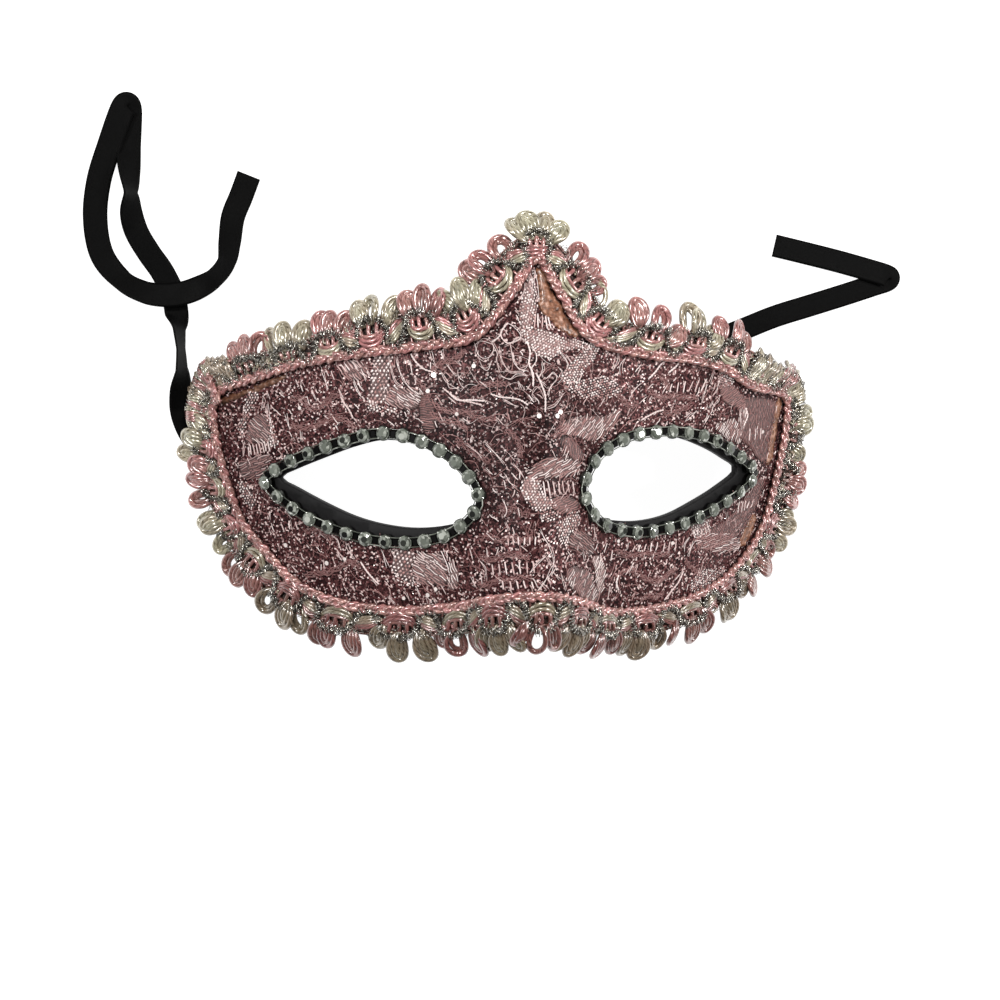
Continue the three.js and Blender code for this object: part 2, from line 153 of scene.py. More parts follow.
# The braid: one rib for each cluster of loops, clockwise from the crest. A rib runs
# from the chain at the braid's inner edge to the root of the cluster.
RIBS = [
    (0, 56.5, 0, 63.5), (4.4, 48.5, 11.6, 53.4), (12.6, 37.4, 18.5, 43.4), (29.5, 33.2, 33, 40.6),
    (43, 32.2, 46.5, 39.6), (54.5, 29.8, 58, 37.4), (65, 24.8, 69.5, 33), (78.1, 22.2, 83, 26.4),
    (78.8, 13, 85, 12.2), (76.3, 0, 84, -2), (73.3, -12.6, 80.5, -15.2), (67.4, -21.6, 73.4, -25.6),
    (58.5, -27.8, 62.6, -33.2), (47, -31.5, 49, -38.4), (32.5, -32.8, 33, -40.2),
    (20.5, -31.9, 20, -38.6), (11.8, -28, 10.5, -35.8), (1, -25.1, 1, -34.4), (-9.2, -26.8, -8.5, -35.4),
    (-17.5, -30, -17.5, -37.6), (-30.5, -32.5, -31, -40.1), (-45.5, -32.1, -47.5, -39.8),
    (-56.5, -28, -60, -35), (-64.8, -19.6, -69.6, -26.6), (-70.4, -12.8, -76.4, -15.8),
    (-73.8, -4.2, -80.6, -4.6), (-76.5, 5, -82.8, 6.2), (-78, 13.8, -84, 16.4), (-76.8, 20.2, -80.4, 27),
    (-67.6, 24.5, -70.2, 30.2), (-58.5, 28, -59.8, 33.8), (-49, 30.5, -50, 37.2),
    (-38.6, 32.1, -39.6, 41), (-26.6, 33.9, -28.4, 43), (-13.8, 36.8, -18, 44.8), (-4.8, 48.5, -11.6, 54),
]

# The stretches of the braid at its two outer corners, seen as a grey mesh of wire.
CORNERS = [(5.8, 9.2), (26.2, 30.2)]
# Where the braid is folded and lies flat beyond its edge: first and last station, outer share.
FLAPS = [(5.75, 6.55, 1.12), (6.55, 7.45, 1.5), (26.7, 28.55, 1.2)]
# The rib at the fold, where the stray wire reaches farther out.
FOLDED_RIB = 7
# The braid's end, a chain that crosses to the outer edge, by pixels of the photograph.
JOIN_CHAIN = [(203, 362), (208, 376), (213, 390), (219, 403)]

# The eye openings and the rings of stones round them.
EYE_LEFT = [
    (-62.6, -1.3), (-58.5, 1.4), (-51, 5.1), (-43.6, 8.4), (-36.3, 10.5), (-29, 9.6), (-21.7, 6.2),
    (-16.2, 1), (-13.9, -3.8), (-16, -8), (-21.5, -10.5), (-28.6, -11.8), (-36, -11.5), (-43.3, -10),
    (-50.8, -7.1), (-58.5, -3.5),
]
EYE_RIGHT = [
    (14, -0.8), (15.6, 4.6), (21.2, 9.6), (28.4, 12), (35.7, 12.8), (43.5, 11.6), (51.8, 8.8),
    (58.4, 5.7), (63.8, 2.1), (57.1, -2.2), (48.8, -5.8), (40.9, -8.6), (33.2, -9.8), (25.6, -9.5),
    (18, -7.4),
]
STONES_LEFT = [
    (-65.2, -2.4), (-61.4, 2.1), (-54.2, 6.3), (-45.8, 10), (-36.3, 12.5), (-26, 10.5), (-17.3, 4.8),
    (-12.9, -3.6), (-18.4, -11.4), (-27.2, -15), (-37.5, -15.4), (-47, -13.5), (-56.2, -9.8),
]
STONES_RIGHT = [
    (28.4, 13.4), (39.3, 13.9), (49.8, 12.2), (58.1, 8.8), (64.9, 4.6), (68.4, 1.6), (66, -2),
    (58.2, -6.1), (48.7, -9.8), (38.7, -12), (28.1, -12.4), (17.5, -9.2), (11.8, -1.7), (13.3, 4.4),
    (17, 8.7), (22.6, 11.6),
]
STONE_COUNT = 26
STONE_RISE = 2.0
STONE_RADIUS = 1.9
CUP_RADIUS = 1.98
CLAW_REACH = 1.7
CLAW_SIZE = 0.28
RAIL_REACH = 1.2
RAIL_RADIUS = 0.15
# Painted reflections on the stones: the tones of the crown facets, lighter or darker by what each would
# reflect, and of the table, often dark as the black board seen through the glass.
PAINTED_FACET_TONES = (0.3, 0.5, 0.56, 0.6, 0.62, 0.68, 0.75)
PAINTED_TABLE_TONES = (0.02, 0.05, 0.1, 0.5, 0.62, 0.85)

# The lace, by the pixels of the photograph's 1000 x 1000 frame where its threads show.
# Bright threads are single, cords are twisted of two and dull bands are flat and pink.
BRIGHT_THREADS = {
    "left_temple": [
        [(265, 403), (268, 415), (271, 425), (273, 435), (276, 445)],
        [(262, 394), (263, 402), (261, 411)],
        [(268, 392), (269, 399)],
        [(268, 405), (267, 415)],
        [(281, 389), (282, 395)],
        [(308, 396), (310, 405)],
        [(313, 390), (316, 400)],
        [(323, 371), (326, 380), (328, 388)],
        [(301, 379), (304, 387)],
        [(286, 414), (291, 429)],
        [(302, 431), (303, 441)],
        [(295, 436), (296, 443)],
        [(287, 450), (289, 455)],
        [(243, 441), (245, 449), (244, 458)],
        [(236, 463), (238, 468)],
    ],
    "left_brow": [
        [(397, 357), (400, 368), (404, 380), (412, 388), (420, 396)],
        [(388, 357), (391, 370), (396, 382), (402, 388)],
        [(383, 384), (386, 392)],
        [(361, 371), (366, 381)],
        [(358, 379), (361, 386), (364, 391)],
        [(354, 380), (357, 389), (361, 396)],
        [(366, 366), (371, 376)],
        [(339, 389), (343, 398)],
        [(411, 360), (412, 375)],
        [(430, 350), (434, 360)],
        [(445, 348), (443, 353), (445, 358)],
        [(434, 361), (437, 366)],
        [(440, 371), (445, 380), (451, 386), (460, 389)],
        [(456, 360), (461, 366)],
        [(447, 363), (451, 370), (456, 376)],
        [(333, 416), (337, 422), (341, 424)],
        [(325, 416), (329, 420)],
        [(336, 424), (338, 430)],
        [(343, 366), (347, 372)],
    ],
    "forehead": [
        [(528, 268), (530, 280), (532, 292)],
        [(534, 270), (536, 284), (537, 300)],
        [(519, 300), (524, 292), (525, 283)],
        [(514, 308), (519, 314)],
        [(501, 331), (508, 324), (518, 330), (519, 338), (510, 343), (502, 338), (501, 331)],
        [(503, 346), (512, 343), (519, 337), (526, 343), (530, 355), (527, 366), (520, 370)],
        [(511, 344), (512, 354), (516, 364), (521, 370), (527, 371)],
        [(500, 347), (501, 358), (505, 368), (512, 373), (522, 372), (528, 377)],
        [(476, 345), (482, 340), (489, 341), (493, 347), (491, 356), (484, 359), (477, 355), (476, 345)],
        [(530, 345), (535, 352), (536, 362), (532, 370), (534, 380)],
        [(541, 361), (543, 371), (541, 380), (546, 387)],
        [(557, 379), (551, 388), (548, 397)],
        [(564, 393), (558, 400), (555, 406), (546, 409)],
        [(493, 341), (498, 352), (497, 362), (501, 372)],
        [(492, 360), (488, 367), (481, 366)],
        [(500, 376), (508, 379), (517, 375), (528, 376)],
        [(536, 400), (533, 393), (536, 387), (542, 390), (545, 398)],
        [(519, 380), (521, 390)],
        [(530, 385), (527, 390)],
        [(480, 382), (487, 386)],
        [(505, 400), (510, 404), (518, 407)],
        [(462, 381), (458, 376)],
        [(548, 379), (553, 373), (558, 377)],
        [(560, 352), (566, 360), (569, 368)],
        [(565, 355), (571, 363)],
    ],
    "nose": [
        [(512, 463), (519, 471), (524, 480)],
        [(505, 474), (510, 482), (515, 487)],
        [(485, 468), (493, 475)],
        [(485, 443), (495, 453), (505, 463)],
        [(466, 444), (476, 452), (483, 458)],
        [(541, 531), (545, 540), (551, 549), (555, 560), (553, 570), (546, 582), (537, 592)],
        [(530, 574), (537, 564), (545, 556)],
        [(545, 556), (551, 563), (555, 565)],
        [(560, 574), (563, 582), (566, 591)],
        [(554, 572), (560, 580)],
        [(541, 583), (548, 590)],
        [(567, 550), (571, 558)],
        [(503, 500), (507, 510), (504, 517)],
        [(517, 508), (520, 516)],
        [(541, 515), (543, 522)],
        [(505, 522), (509, 532)],
        [(556, 566), (551, 575)],
        [(470, 550), (474, 560)],
        [(481, 562), (486, 570), (485, 579)],
        [(471, 578), (476, 588)],
        [(487, 556), (488, 549)],
        [(496, 555), (499, 548)],
        [(512, 528), (515, 535)],
    ],
    "right_brow": [
        [(618, 353), (617, 361), (612, 372)],
        [(625, 357), (622, 365), (621, 374)],
        [(642, 382), (636, 389), (630, 396)],
        [(646, 396), (639, 404)],
        [(711, 372), (709, 383)],
        [(719, 380), (716, 391)],
        [(720, 394), (717, 401), (713, 407)],
        [(709, 416), (705, 424)],
        [(712, 400), (709, 408)],
        [(704, 392), (702, 404)],
        [(707, 384), (704, 393)],
        [(697, 411), (690, 415), (684, 421)],
        [(668, 384), (662, 394)],
        [(583, 372), (580, 380)],
    ],
    "right_cheek": [
        [(612, 550), (610, 561)],
        [(610, 586), (607, 600)],
        [(615, 595), (612, 600)],
        [(688, 537), (685, 544), (683, 551)],
        [(693, 541), (691, 549), (689, 556)],
        [(629, 543), (625, 550)],
        [(701, 566), (698, 573)],
        [(683, 567), (681, 576)],
        [(715, 583), (711, 592)],
        [(594, 528), (594, 541)],
        [(600, 555), (601, 565)],
        [(727, 513), (728, 526)],
        [(735, 517), (735, 532)],
        [(583, 550), (587, 560)],
    ],
    "left_cheek": [
        [(337, 549), (340, 556), (343, 561)],
        [(347, 543), (350, 552), (354, 559)],
        [(331, 557), (334, 566)],
        [(324, 559), (326, 570)],
        [(381, 549), (385, 558), (389, 566)],
        [(392, 550), (394, 560)],
        [(396, 549), (399, 554)],
        [(271, 512), (270, 520)],
        [(272, 523), (273, 531)],
        [(290, 520), (291, 528)],
        [(346, 586), (348, 592)],
        [(354, 586), (355, 591)],
        [(390, 596), (396, 604)],
        [(418, 589), (421, 596)],
        [(406, 592), (409, 599)],
        [(425, 596), (430, 603)],
        [(433, 598), (437, 603)],
        [(422, 553), (425, 560)],
    ],
}
LACE_CORDS = {
    "left": [
        [(341, 397), (345, 404), (350, 411), (353, 418)],
        [(411, 354), (416, 362), (424, 369), (433, 372)],
        [(443, 388), (452, 395), (460, 400), (470, 402), (482, 405)],
        [(332, 535), (338, 540), (340, 548)],
        [(361, 562), (367, 571), (373, 578), (379, 584)],
    ],
    "forehead": [
        [(491, 394), (500, 397), (510, 398), (520, 400), (528, 405)],
        [(492, 342), (499, 337), (503, 329), (508, 323)],
        [(450, 394), (458, 400), (470, 400), (485, 401)],
        [(527, 341), (530, 352), (529, 364), (533, 374), (533, 386)],
        [(536, 373), (541, 384), (545, 396), (545, 412)],
    ],
    "right": [
        [(648, 379), (655, 372), (661, 364), (669, 359)],
        [(668, 373), (675, 367), (681, 360)],
        [(641, 420), (648, 416), (656, 412), (663, 410)],
        [(745, 408), (747, 416), (743, 426)],
        [(664, 600), (671, 591), (678, 582), (683, 571)],
        [(618, 575), (616, 583), (618, 590)],
    ],
}
DULL_BANDS = {
    "left": [
        [(291, 424), (297, 428), (308, 428), (320, 424), (334, 418), (345, 420), (356, 428)],
        [(290, 400), (300, 398), (312, 409), (322, 405), (334, 396), (345, 396)],
        [(432, 371), (438, 364), (447, 361), (457, 357), (466, 350)],
        [(416, 380), (424, 388), (428, 397), (421, 405)],
        [(430, 412), (442, 420), (456, 422), (468, 430)],
        [(305, 577), (316, 573), (327, 573), (340, 567), (350, 562), (360, 566)],
        [(305, 533), (316, 528), (326, 534), (334, 538)],
        [(455, 440), (465, 446), (478, 456), (490, 462)],
        [(430, 400), (440, 408), (452, 412), (466, 412), (480, 418), (496, 420)],
    ],
    "middle": [
        [(470, 392), (482, 386), (494, 384), (506, 384)],
        [(505, 430), (514, 436), (520, 446), (520, 458)],
        [(480, 540), (490, 536), (500, 541), (512, 537), (523, 540), (533, 537)],
        [(480, 556), (490, 560), (500, 556), (512, 555), (522, 556), (530, 558)],
        [(478, 583), (487, 586), (497, 580), (509, 581), (520, 577), (532, 578)],
        [(500, 505), (508, 512), (515, 508), (522, 515), (530, 512)],
        [(556, 408), (562, 415), (560, 428), (552, 438)],
    ],
    "right": [
        [(646, 384), (652, 393), (660, 397), (672, 396), (684, 397), (698, 398)],
        [(618, 395), (625, 403), (630, 407), (638, 403)],
        [(660, 376), (667, 384), (668, 390)],
        [(663, 411), (672, 414), (680, 410), (692, 404)],
        [(690, 372), (698, 366), (707, 368), (716, 366)],
        [(617, 577), (624, 571), (634, 571), (643, 577), (652, 581), (661, 580), (669, 573), (676, 568)],
        [(615, 549), (624, 554), (636, 555), (648, 553), (660, 555), (670, 553)],
        [(640, 600), (648, 596), (656, 597), (664, 592)],
        [(685, 560), (692, 568), (700, 573)],
    ],
}
# Ladders: short threads side by side. First and last rung, each as top and foot, and a count.
LADDERS = {
    "left_temple": [
        ((248, 446), (249, 456), (268, 441), (270, 451), 8),
    ],
    "crest": [
        ((535, 313), (534, 328), (548, 317), (551, 329), 5),
    ],
    "nose": [
        ((492, 564), (493, 575), (533, 561), (535, 574), 7),
        ((503, 581), (504, 590), (531, 581), (534, 589), 5),
        ((543, 481), (545, 497), (572, 481), (574, 492), 7),
        ((508, 538), (509, 546), (535, 536), (535, 545), 6),
    ],
    "right_brow": [
        ((672, 384), (670, 393), (706, 378), (700, 391), 6),
    ],
    "right_temple": [
        ((749, 428), (748, 440), (761, 428), (760, 440), 3),
    ],
    "right_cheek": [
        ((634, 545), (632, 552), (676, 541), (674, 551), 8),
        ((739, 501), (737, 513), (752, 500), (750, 508), 5),
        ((692, 530), (694, 537), (708, 526), (710, 534), 5),
    ],
    "left_brow": [
        ((336, 364), (342, 372), (356, 360), (362, 368), 6),
    ],
    "left_cheek": [
        ((282, 524), (284, 531), (296, 522), (298, 529), 3),
    ],
}
# Patches: their kind, the lie of their rows in degrees, their brightness and outline.
LACE_PATCHES = [
    ("knots", 60, 0.75, [(247, 394), (257, 391), (259, 397), (253, 408), (250, 418), (246, 428),
     (246, 436), (240, 434), (237, 427), (241, 419), (244, 408)]),
    ("hatch", -38, 0.5, [(252, 418), (266, 414), (271, 428), (272, 441), (258, 444), (246, 442),
     (247, 432)]),
    ("knots", 80, 0.95, [(267, 418), (272, 420), (276, 432), (279, 444), (274, 448), (269, 441),
     (270, 430)]),
    ("hatch", 25, 0.35, [(240, 462), (256, 456), (272, 452), (275, 456), (267, 467), (261, 478),
     (244, 479), (240, 470)]),
    ("knots", 70, 0.8, [(238, 482), (246, 482), (252, 492), (257, 503), (250, 508), (243, 500),
     (240, 492)]),
    ("dots", 60, 0.9, [(374, 357), (384, 354), (392, 354), (393, 366), (389, 378), (391, 392), (386, 404),
     (374, 404), (367, 400), (369, 388), (371, 372)]),
    ("hatch", -32, 0.8, [(390, 388), (397, 385), (405, 389), (413, 386), (420, 394), (420, 406),
     (410, 411), (396, 407), (385, 404), (385, 396)]),
    ("knots", -20, 1.0, [(366, 400), (372, 400), (384, 406), (398, 409), (397, 413), (382, 413),
     (370, 409)]),
    ("hatch", -50, 0.5, [(345, 360), (358, 361), (369, 364), (366, 376), (358, 381), (348, 380),
     (342, 372)]),
    ("gauze", 0, 0.3, [(421, 394), (431, 398), (435, 412), (436, 428), (427, 434), (421, 424),
     (419, 408)]),
    ("knots", 75, 1.0, [(527, 262), (533, 264), (535, 284), (537, 300), (537, 316), (530, 330),
     (521, 330), (519, 316), (520, 302), (525, 290)]),
    ("knots", 40, 1.0, [(520, 328), (536, 328), (550, 331), (562, 337), (576, 340), (590, 343),
     (598, 344), (590, 349), (576, 350), (563, 353), (552, 359), (541, 357), (531, 350), (524, 340)]),
    ("knots", 5, 0.9, [(597, 345), (598, 352), (592, 362), (584, 369), (582, 378), (572, 384), (563, 382),
     (561, 375), (568, 366), (577, 356), (584, 349)]),
    ("knots", 15, 0.65, [(563, 382), (576, 380), (592, 378), (606, 377), (618, 383), (621, 392),
     (608, 398), (588, 399), (573, 394)]),
    ("hatch", 50, 0.65, [(562, 422), (575, 417), (590, 416), (606, 415), (617, 409), (622, 414),
     (614, 426), (601, 438), (590, 442), (576, 437), (563, 434), (560, 428)]),
    ("gauze", 80, 0.4, [(563, 435), (574, 440), (580, 447), (585, 459), (575, 462), (566, 453),
     (561, 444)]),
    ("hatch", 30, 0.65, [(527, 474), (535, 464), (546, 458), (560, 457), (572, 459), (582, 461),
     (578, 473), (562, 478), (545, 479), (531, 482)]),
    ("knots", 55, 1.0, [(523, 480), (532, 476), (540, 480), (542, 492), (551, 499), (558, 504),
     (549, 509), (538, 511), (528, 503), (521, 492)]),
    ("gauze", 20, 0.5, [(550, 499), (562, 496), (574, 498), (579, 505), (574, 513), (560, 514),
     (551, 508)]),
    ("knots", 60, 0.85, [(571, 512), (578, 512), (580, 522), (574, 530), (568, 538), (570, 546),
     (562, 544), (557, 534), (558, 524), (566, 518)]),
    ("hatch", -35, 0.45, [(575, 530), (590, 534), (594, 545), (592, 556), (580, 553), (570, 547),
     (569, 538)]),
    ("knots", 20, 0.7, [(540, 509), (552, 510), (560, 513), (556, 520), (545, 522), (539, 518)]),
    ("hatch", 60, 1.0, [(590, 558), (597, 555), (602, 560), (606, 571), (604, 584), (603, 592),
     (597, 592), (595, 580), (594, 568)]),
    ("hatch", 60, 0.6, [(566, 573), (574, 566), (590, 572), (594, 584), (600, 592), (598, 602),
     (586, 602), (576, 594), (568, 584)]),
    ("dots", 50, 0.9, [(394, 550), (404, 548), (414, 551), (416, 560), (412, 572), (418, 580), (410, 584),
     (399, 578), (391, 568), (393, 558)]),
    ("hatch", -30, 0.7, [(417, 553), (430, 553), (440, 553), (446, 564), (449, 580), (446, 586),
     (432, 586), (418, 584), (412, 572)]),
    ("hatch", -68, 1.0, [(441, 549), (447, 551), (453, 560), (459, 572), (459, 582), (455, 590),
     (447, 588), (449, 576), (446, 562)]),
    ("knots", -25, 1.0, [(391, 568), (400, 576), (410, 581), (419, 584), (417, 588), (407, 585),
     (397, 579)]),
    ("knots", 40, 0.85, [(718, 374), (726, 371), (732, 375), (733, 383), (727, 387), (719, 383)]),
    ("gauze", 30, 0.5, [(720, 385), (731, 384), (740, 392), (745, 400), (744, 408), (732, 407),
     (722, 399)]),
    ("hatch", 60, 0.8, [(715, 424), (724, 421), (733, 418), (738, 424), (738, 436), (731, 442),
     (722, 436), (716, 430)]),
    ("hatch", 78, 1.0, [(741, 407), (746, 408), (745, 420), (743, 434), (739, 444), (734, 442),
     (737, 430), (738, 418)]),
    ("knots", 80, 0.85, [(690, 528), (700, 520), (709, 520), (710, 530), (704, 536), (694, 537)]),
    ("hatch", 10, 0.6, [(694, 538), (706, 533), (720, 532), (732, 534), (740, 541), (737, 550),
     (722, 553), (708, 551), (697, 546)]),
    ("knots", 40, 0.65, [(694, 577), (706, 568), (716, 570), (724, 566), (722, 578), (708, 588),
     (695, 592), (688, 588)]),
    ("gauze", 80, 0.32, [(744, 398), (776, 402), (771, 430), (766, 462), (757, 459), (748, 447),
     (739, 438), (738, 422)]),
    ("gauze", 60, 0.3, [(757, 478), (764, 481), (757, 505), (742, 530), (724, 544), (698, 552),
     (700, 534), (722, 522), (740, 504), (748, 492)]),
]
SPARKLES = [
    (474, 366), (539, 416), (300, 408), (345, 559), (327, 563), (434, 375), (560, 412), (557, 416),
    (428, 391), (286, 545), (672, 543), (404, 598), (428, 595), (436, 589), (457, 414), (618, 541),
    (762, 432),
]

# The amber glue that shows at the braid's edge: its lightness, and its outline by pixels.
GLUE_PATCHES = [
    (0.62, [(218, 397), (240, 391), (262, 382), (283, 374), (290, 375), (276, 384), (255, 393),
     (234, 401), (222, 405)]),
    (1.0, [(536, 268), (547, 270), (552, 288), (562, 303), (569, 318), (582, 331), (584, 338), (572, 337),
     (558, 329), (548, 317), (539, 308), (538, 290)]),
    (1.0, [(777, 398), (783, 398), (779, 420), (776, 440), (772, 462), (766, 464), (768, 446),
     (772, 424)]),
    (1.0, [(752, 515), (757, 512), (754, 528), (746, 545), (738, 548), (742, 534)]),
]

# The ribbon ties. Each route point is x, y, z and the ribbon's turn about its own line
# in degrees, from the glued end to the cut end.
RIBBON_WIDTH = 6.4
RIBBON_THICKNESS = 0.36
RIBBON_SOLID_THICKNESS = 0.4
RIBBON_CLEARANCE = 0.05
ROUTE_LEFT = [
    (-68, 2.4, 12.1, 0), (-73, 2.6, 6.8, 0), (-78, 3.2, 1.2, 0), (-82, 4.6, 0.4, 0), (-85, 7.4, 0.4, 0),
    (-87.1, 11, 0.4, 2), (-88.4, 15.4, 0.5, 6), (-88.6, 21, 1.6, 26), (-88.4, 26.5, 3, 64),
    (-88.6, 32, 3.2, 72), (-89.1, 37.4, 3, 62), (-89.8, 41.4, 1.2, 12), (-90.3, 44.4, 0.4, 0),
    (-91.3, 47.8, 0.4, 0), (-93.9, 52.8, 0.4, 2), (-97.2, 57.4, 0.4, 0), (-100.4, 62.8, 0.6, 4),
    (-101.8, 68, 1.6, 28), (-101.8, 73, 2.9, 62), (-102.2, 78, 2, 36), (-102.5, 84, 0.6, 6),
    (-102.3, 90, 0.4, 0), (-102.2, 94.6, 0.6, 0), (-102.8, 96.2, 1.1, 0), (-104.2, 94.4, 1.6, 0),
    (-107.2, 85.8, 1.3, 0), (-110.2, 76, 0.8, 0), (-111.2, 66, 0.6, 0), (-109.4, 56.4, 1, -8),
    (-104, 49.8, 2.2, -34), (-98.4, 46.9, 2.6, -24), (-93.6, 46.2, 2.3, -8), (-89.2, 46.6, 2.1, -4),
    (-84.6, 48.2, 1.9, -14), (-79.8, 51.2, 2, -38), (-76.6, 55.6, 2.2, -42), (-75.8, 61, 1.4, -22),
    (-75, 67.6, 0.8, -8), (-72.8, 73.4, 0.5, 0), (-70.8, 79, 0.4, 0),
]
ROUTE_RIGHT = [
    (77.6, -2, 4.6, 41), (78, 4, 4.8, 41), (77.8, 10, 4.3, 36), (76.2, 15.4, 2.8, 22), (72, 19.2, 1.4, 8),
    (66, 20.8, 0.6, 0), (59, 20.6, 0.4, 0), (51, 19, 0.5, 4), (44, 16.8, 1.4, 26), (37, 15.8, 2.8, 62),
    (30.6, 17.8, 3.3, 80), (27.6, 23.6, 3.3, 82), (30, 29.4, 3.3, 80), (36, 32.6, 2.8, 62),
    (44, 33.8, 1.4, 26), (53, 35.2, 0.5, 4), (62, 37.8, 0.4, 0), (70.4, 41.2, 0.4, 0), (79.6, 45, 0.4, 0),
    (90, 48.4, 0.4, 0), (101, 52, 0.4, 0), (109.4, 54.9, 0.5, 0), (112.8, 56.1, 0.9, 0),
    (113.6, 57, 1.3, 0), (112, 57.8, 1.6, 0), (107.4, 59, 1.4, 0), (98.2, 61.2, 0.9, 0),
    (87.6, 63.4, 0.6, 0), (78.4, 65.2, 0.5, 0),
]

# The camera, as the photograph was taken: above the mask, a little from the left.
CAMERA_TARGET = np.array([-4.82, -5.55, 30.0])
CAMERA_DISTANCE = 420.0
CAMERA_YAW = math.radians(9.926)
CAMERA_PITCH = math.radians(6.334)
CAMERA_ROLL = math.radians(1.476)
PHOTO_SIDE = 1000
MM_PER_PIXEL = 0.265
SENSOR = 36.0

# Each light's place, size, power and colour.
LIGHT_TARGET = (0, 0, 0.02)
LIGHTS = {
    "key": ((0.05, 0.58, 0.74), 0.16, 5.0, (1, 0.985, 0.96)),
    "fill": ((0.60, 0.06, 0.54), 0.16, 3.6, (1, 0.99, 0.98)),
    "side": ((-0.54, 0.10, 0.58), 0.12, 3.0, (1, 1, 1)),
}
FLOOR_SIZE = 6
FLOOR_GLOW = 0.97
STUDIO_LIGHT = 0.12


def metre(points):
    """Millimetres from the point between the eyes, as metres in the frame."""
    return (np.asarray(points, float) - MIDDLE) * MM


def unit(vectors):
    return vectors / np.maximum(np.linalg.norm(vectors, axis=-1, keepdims=True), 1e-9)


def heading(angle, rise=0.0):
    return np.array([math.cos(angle), math.sin(angle), rise])


def strewn(chance, count, spread, axes=2):
    """Small offsets by chance, a row for each of count points."""
    return np.array([[chance.gauss(0, spread) for _ in range(axes)] for _ in range(count)])


# The surface of the face.

def face_height(x, y):
    x = np.asarray(x, float)
    y = np.asarray(y, float)
    rounding = SPAN_ROUND * np.clip((y - SPAN_MIDDLE) / SPAN_REACH, -1, 1) ** 2
    half_span = np.where(x < 0, HALF_SPAN_LEFT, HALF_SPAN_RIGHT)
    across = np.abs(x) / (half_span + SPAN_LEAN * (y - SPAN_HEIGHT) - rounding)
    down = np.clip((NOSE_TOP - y) / NOSE_LENGTH, 0, 1)
    nose_width = NOSE_HALF_WIDTH + NOSE_WIDTH_GAIN * down
    nose = (NOSE_RISE_AT_BROW + NOSE_RISE_GAIN * down) * np.exp(-((x / nose_width) ** 2))
    dome = DOME_RISE * (1 - across ** DOME_POWER)
    fall = EDGE_FALL * ((y - EDGE_FALL_START) / EDGE_FALL_REACH) ** 2
    socket_x = (np.abs(x) - SOCKET_CENTRE) / SOCKET_HALF_WIDTH
    socket = SOCKET_DEPTH * np.exp(-(socket_x ** 2) - (y / SOCKET_HALF_HEIGHT) ** 2)
    return dome + nose - fall * np.clip(1 - across ** 2, 0, 1) - socket


def face_up(points):
    """The directions off the face over points, of which only x and y count."""
    x, y = points[..., 0], points[..., 1]
    slope_x = face_height(x + 0.5, y) - face_height(x - 0.5, y)
    slope_y = face_height(x, y + 0.5) - face_height(x, y - 0.5)
    return unit(np.stack([-slope_x, -slope_y, np.ones_like(slope_x)], -1))


def on_face(plan, height):
    """Points of the plan laid on the face, at a height above it."""
    plan = np.asarray(plan, float)
    foot = np.concatenate([plan, face_height(plan[..., 0], plan[..., 1])[..., None]], -1)
    return foot + face_up(plan) * np.asarray(height, float)[..., None]


def smooth(before, first, second, after, part):
    """A point between first and second, on the smooth line through all four."""
    return 0.5 * (2 * first + (second - before) * part
                  + (2 * before - 5 * first + 4 * second - after) * part ** 2
                  + (3 * first - before - 3 * second + after) * part ** 3)


def closed_line(points):
    """A smooth closed line through points: a function of the place along it."""
    points = np.array(points, float)

    def at(place):
        place = np.asarray(place, float) % len(points)
        start = np.floor(place).astype(int)
        near = (points[(start + k) % len(points)] for k in (-1, 0, 1, 2))
        return smooth(*near, (place - start)[..., None])

    return at


def open_line(points, count):
    """A smooth open line through points, as count points."""
    points = np.array(points, float)
    padded = np.vstack([2 * points[0] - points[1], points, 2 * points[-1] - points[-2]])
    place = np.linspace(0, len(points) - 1, count)
    start = np.minimum(np.floor(place).astype(int), len(points) - 2)
    return smooth(*(padded[start + k] for k in range(4)), (place - start)[:, None])


def distances(line):
    """How far along a line each of its points lies."""
    steps = np.linalg.norm(np.diff(line, axis=0), axis=1)
    return np.concatenate([[0], np.cumsum(steps)])


def line_length(line):
    return float(np.linalg.norm(np.diff(line, axis=0), axis=1).sum())


def even(points, count, closed=False):
    """The same line with its points evenly spaced."""
    points = np.asarray(points, float)
    if closed:
        points = np.vstack([points, points[:1]])
    along = distances(points)
    wanted = np.linspace(0, along[-1], count, endpoint=not closed)
    return np.stack([np.interp(wanted, along, values) for values in points.T], 1)


def even_ring(points, fineness, count):
    """The smooth closed line through points, as count evenly spaced ones."""
    fine = closed_line(points)(np.linspace(0, len(points), fineness * len(points), endpoint=False))
    return even(fine, count, True)


inner_line = closed_line([rib[:2] for rib in RIBS])
outer_line = closed_line([rib[2:] for rib in RIBS])


def braid_line(stations, shares, rise):
    """Points of the braid: a station counts ribs, a share runs from the chain to the root."""
    inner = inner_line(stations)
    plan = inner + (outer_line(stations) - inner) * np.asarray(shares, float)[..., None]
    return on_face(plan, rise)


def base_outline(inset):
    station = np.arange(4 * len(RIBS)) / 4
    inner = inner_line(station)
    outer = outer_line(station)
    width = np.linalg.norm(outer - inner, axis=1, keepdims=True)
    return inner + (outer - inner) * (1 - inset / width)


def eye_outline(points, count):
    return even_ring(points, 40, count)


# Camera, light and floor.

def camera_axes():
    back = np.array([-math.sin(CAMERA_YAW) * math.cos(CAMERA_PITCH), math.sin(CAMERA_PITCH),
                     math.cos(CAMERA_YAW) * math.cos(CAMERA_PITCH)])
    right = unit(np.cross([0, 1, 0], back))
    up = np.cross(back, right)
    cos, sin = math.cos(CAMERA_ROLL), math.sin(CAMERA_ROLL)
    return cos * right + sin * up, cos * up - sin * right, back


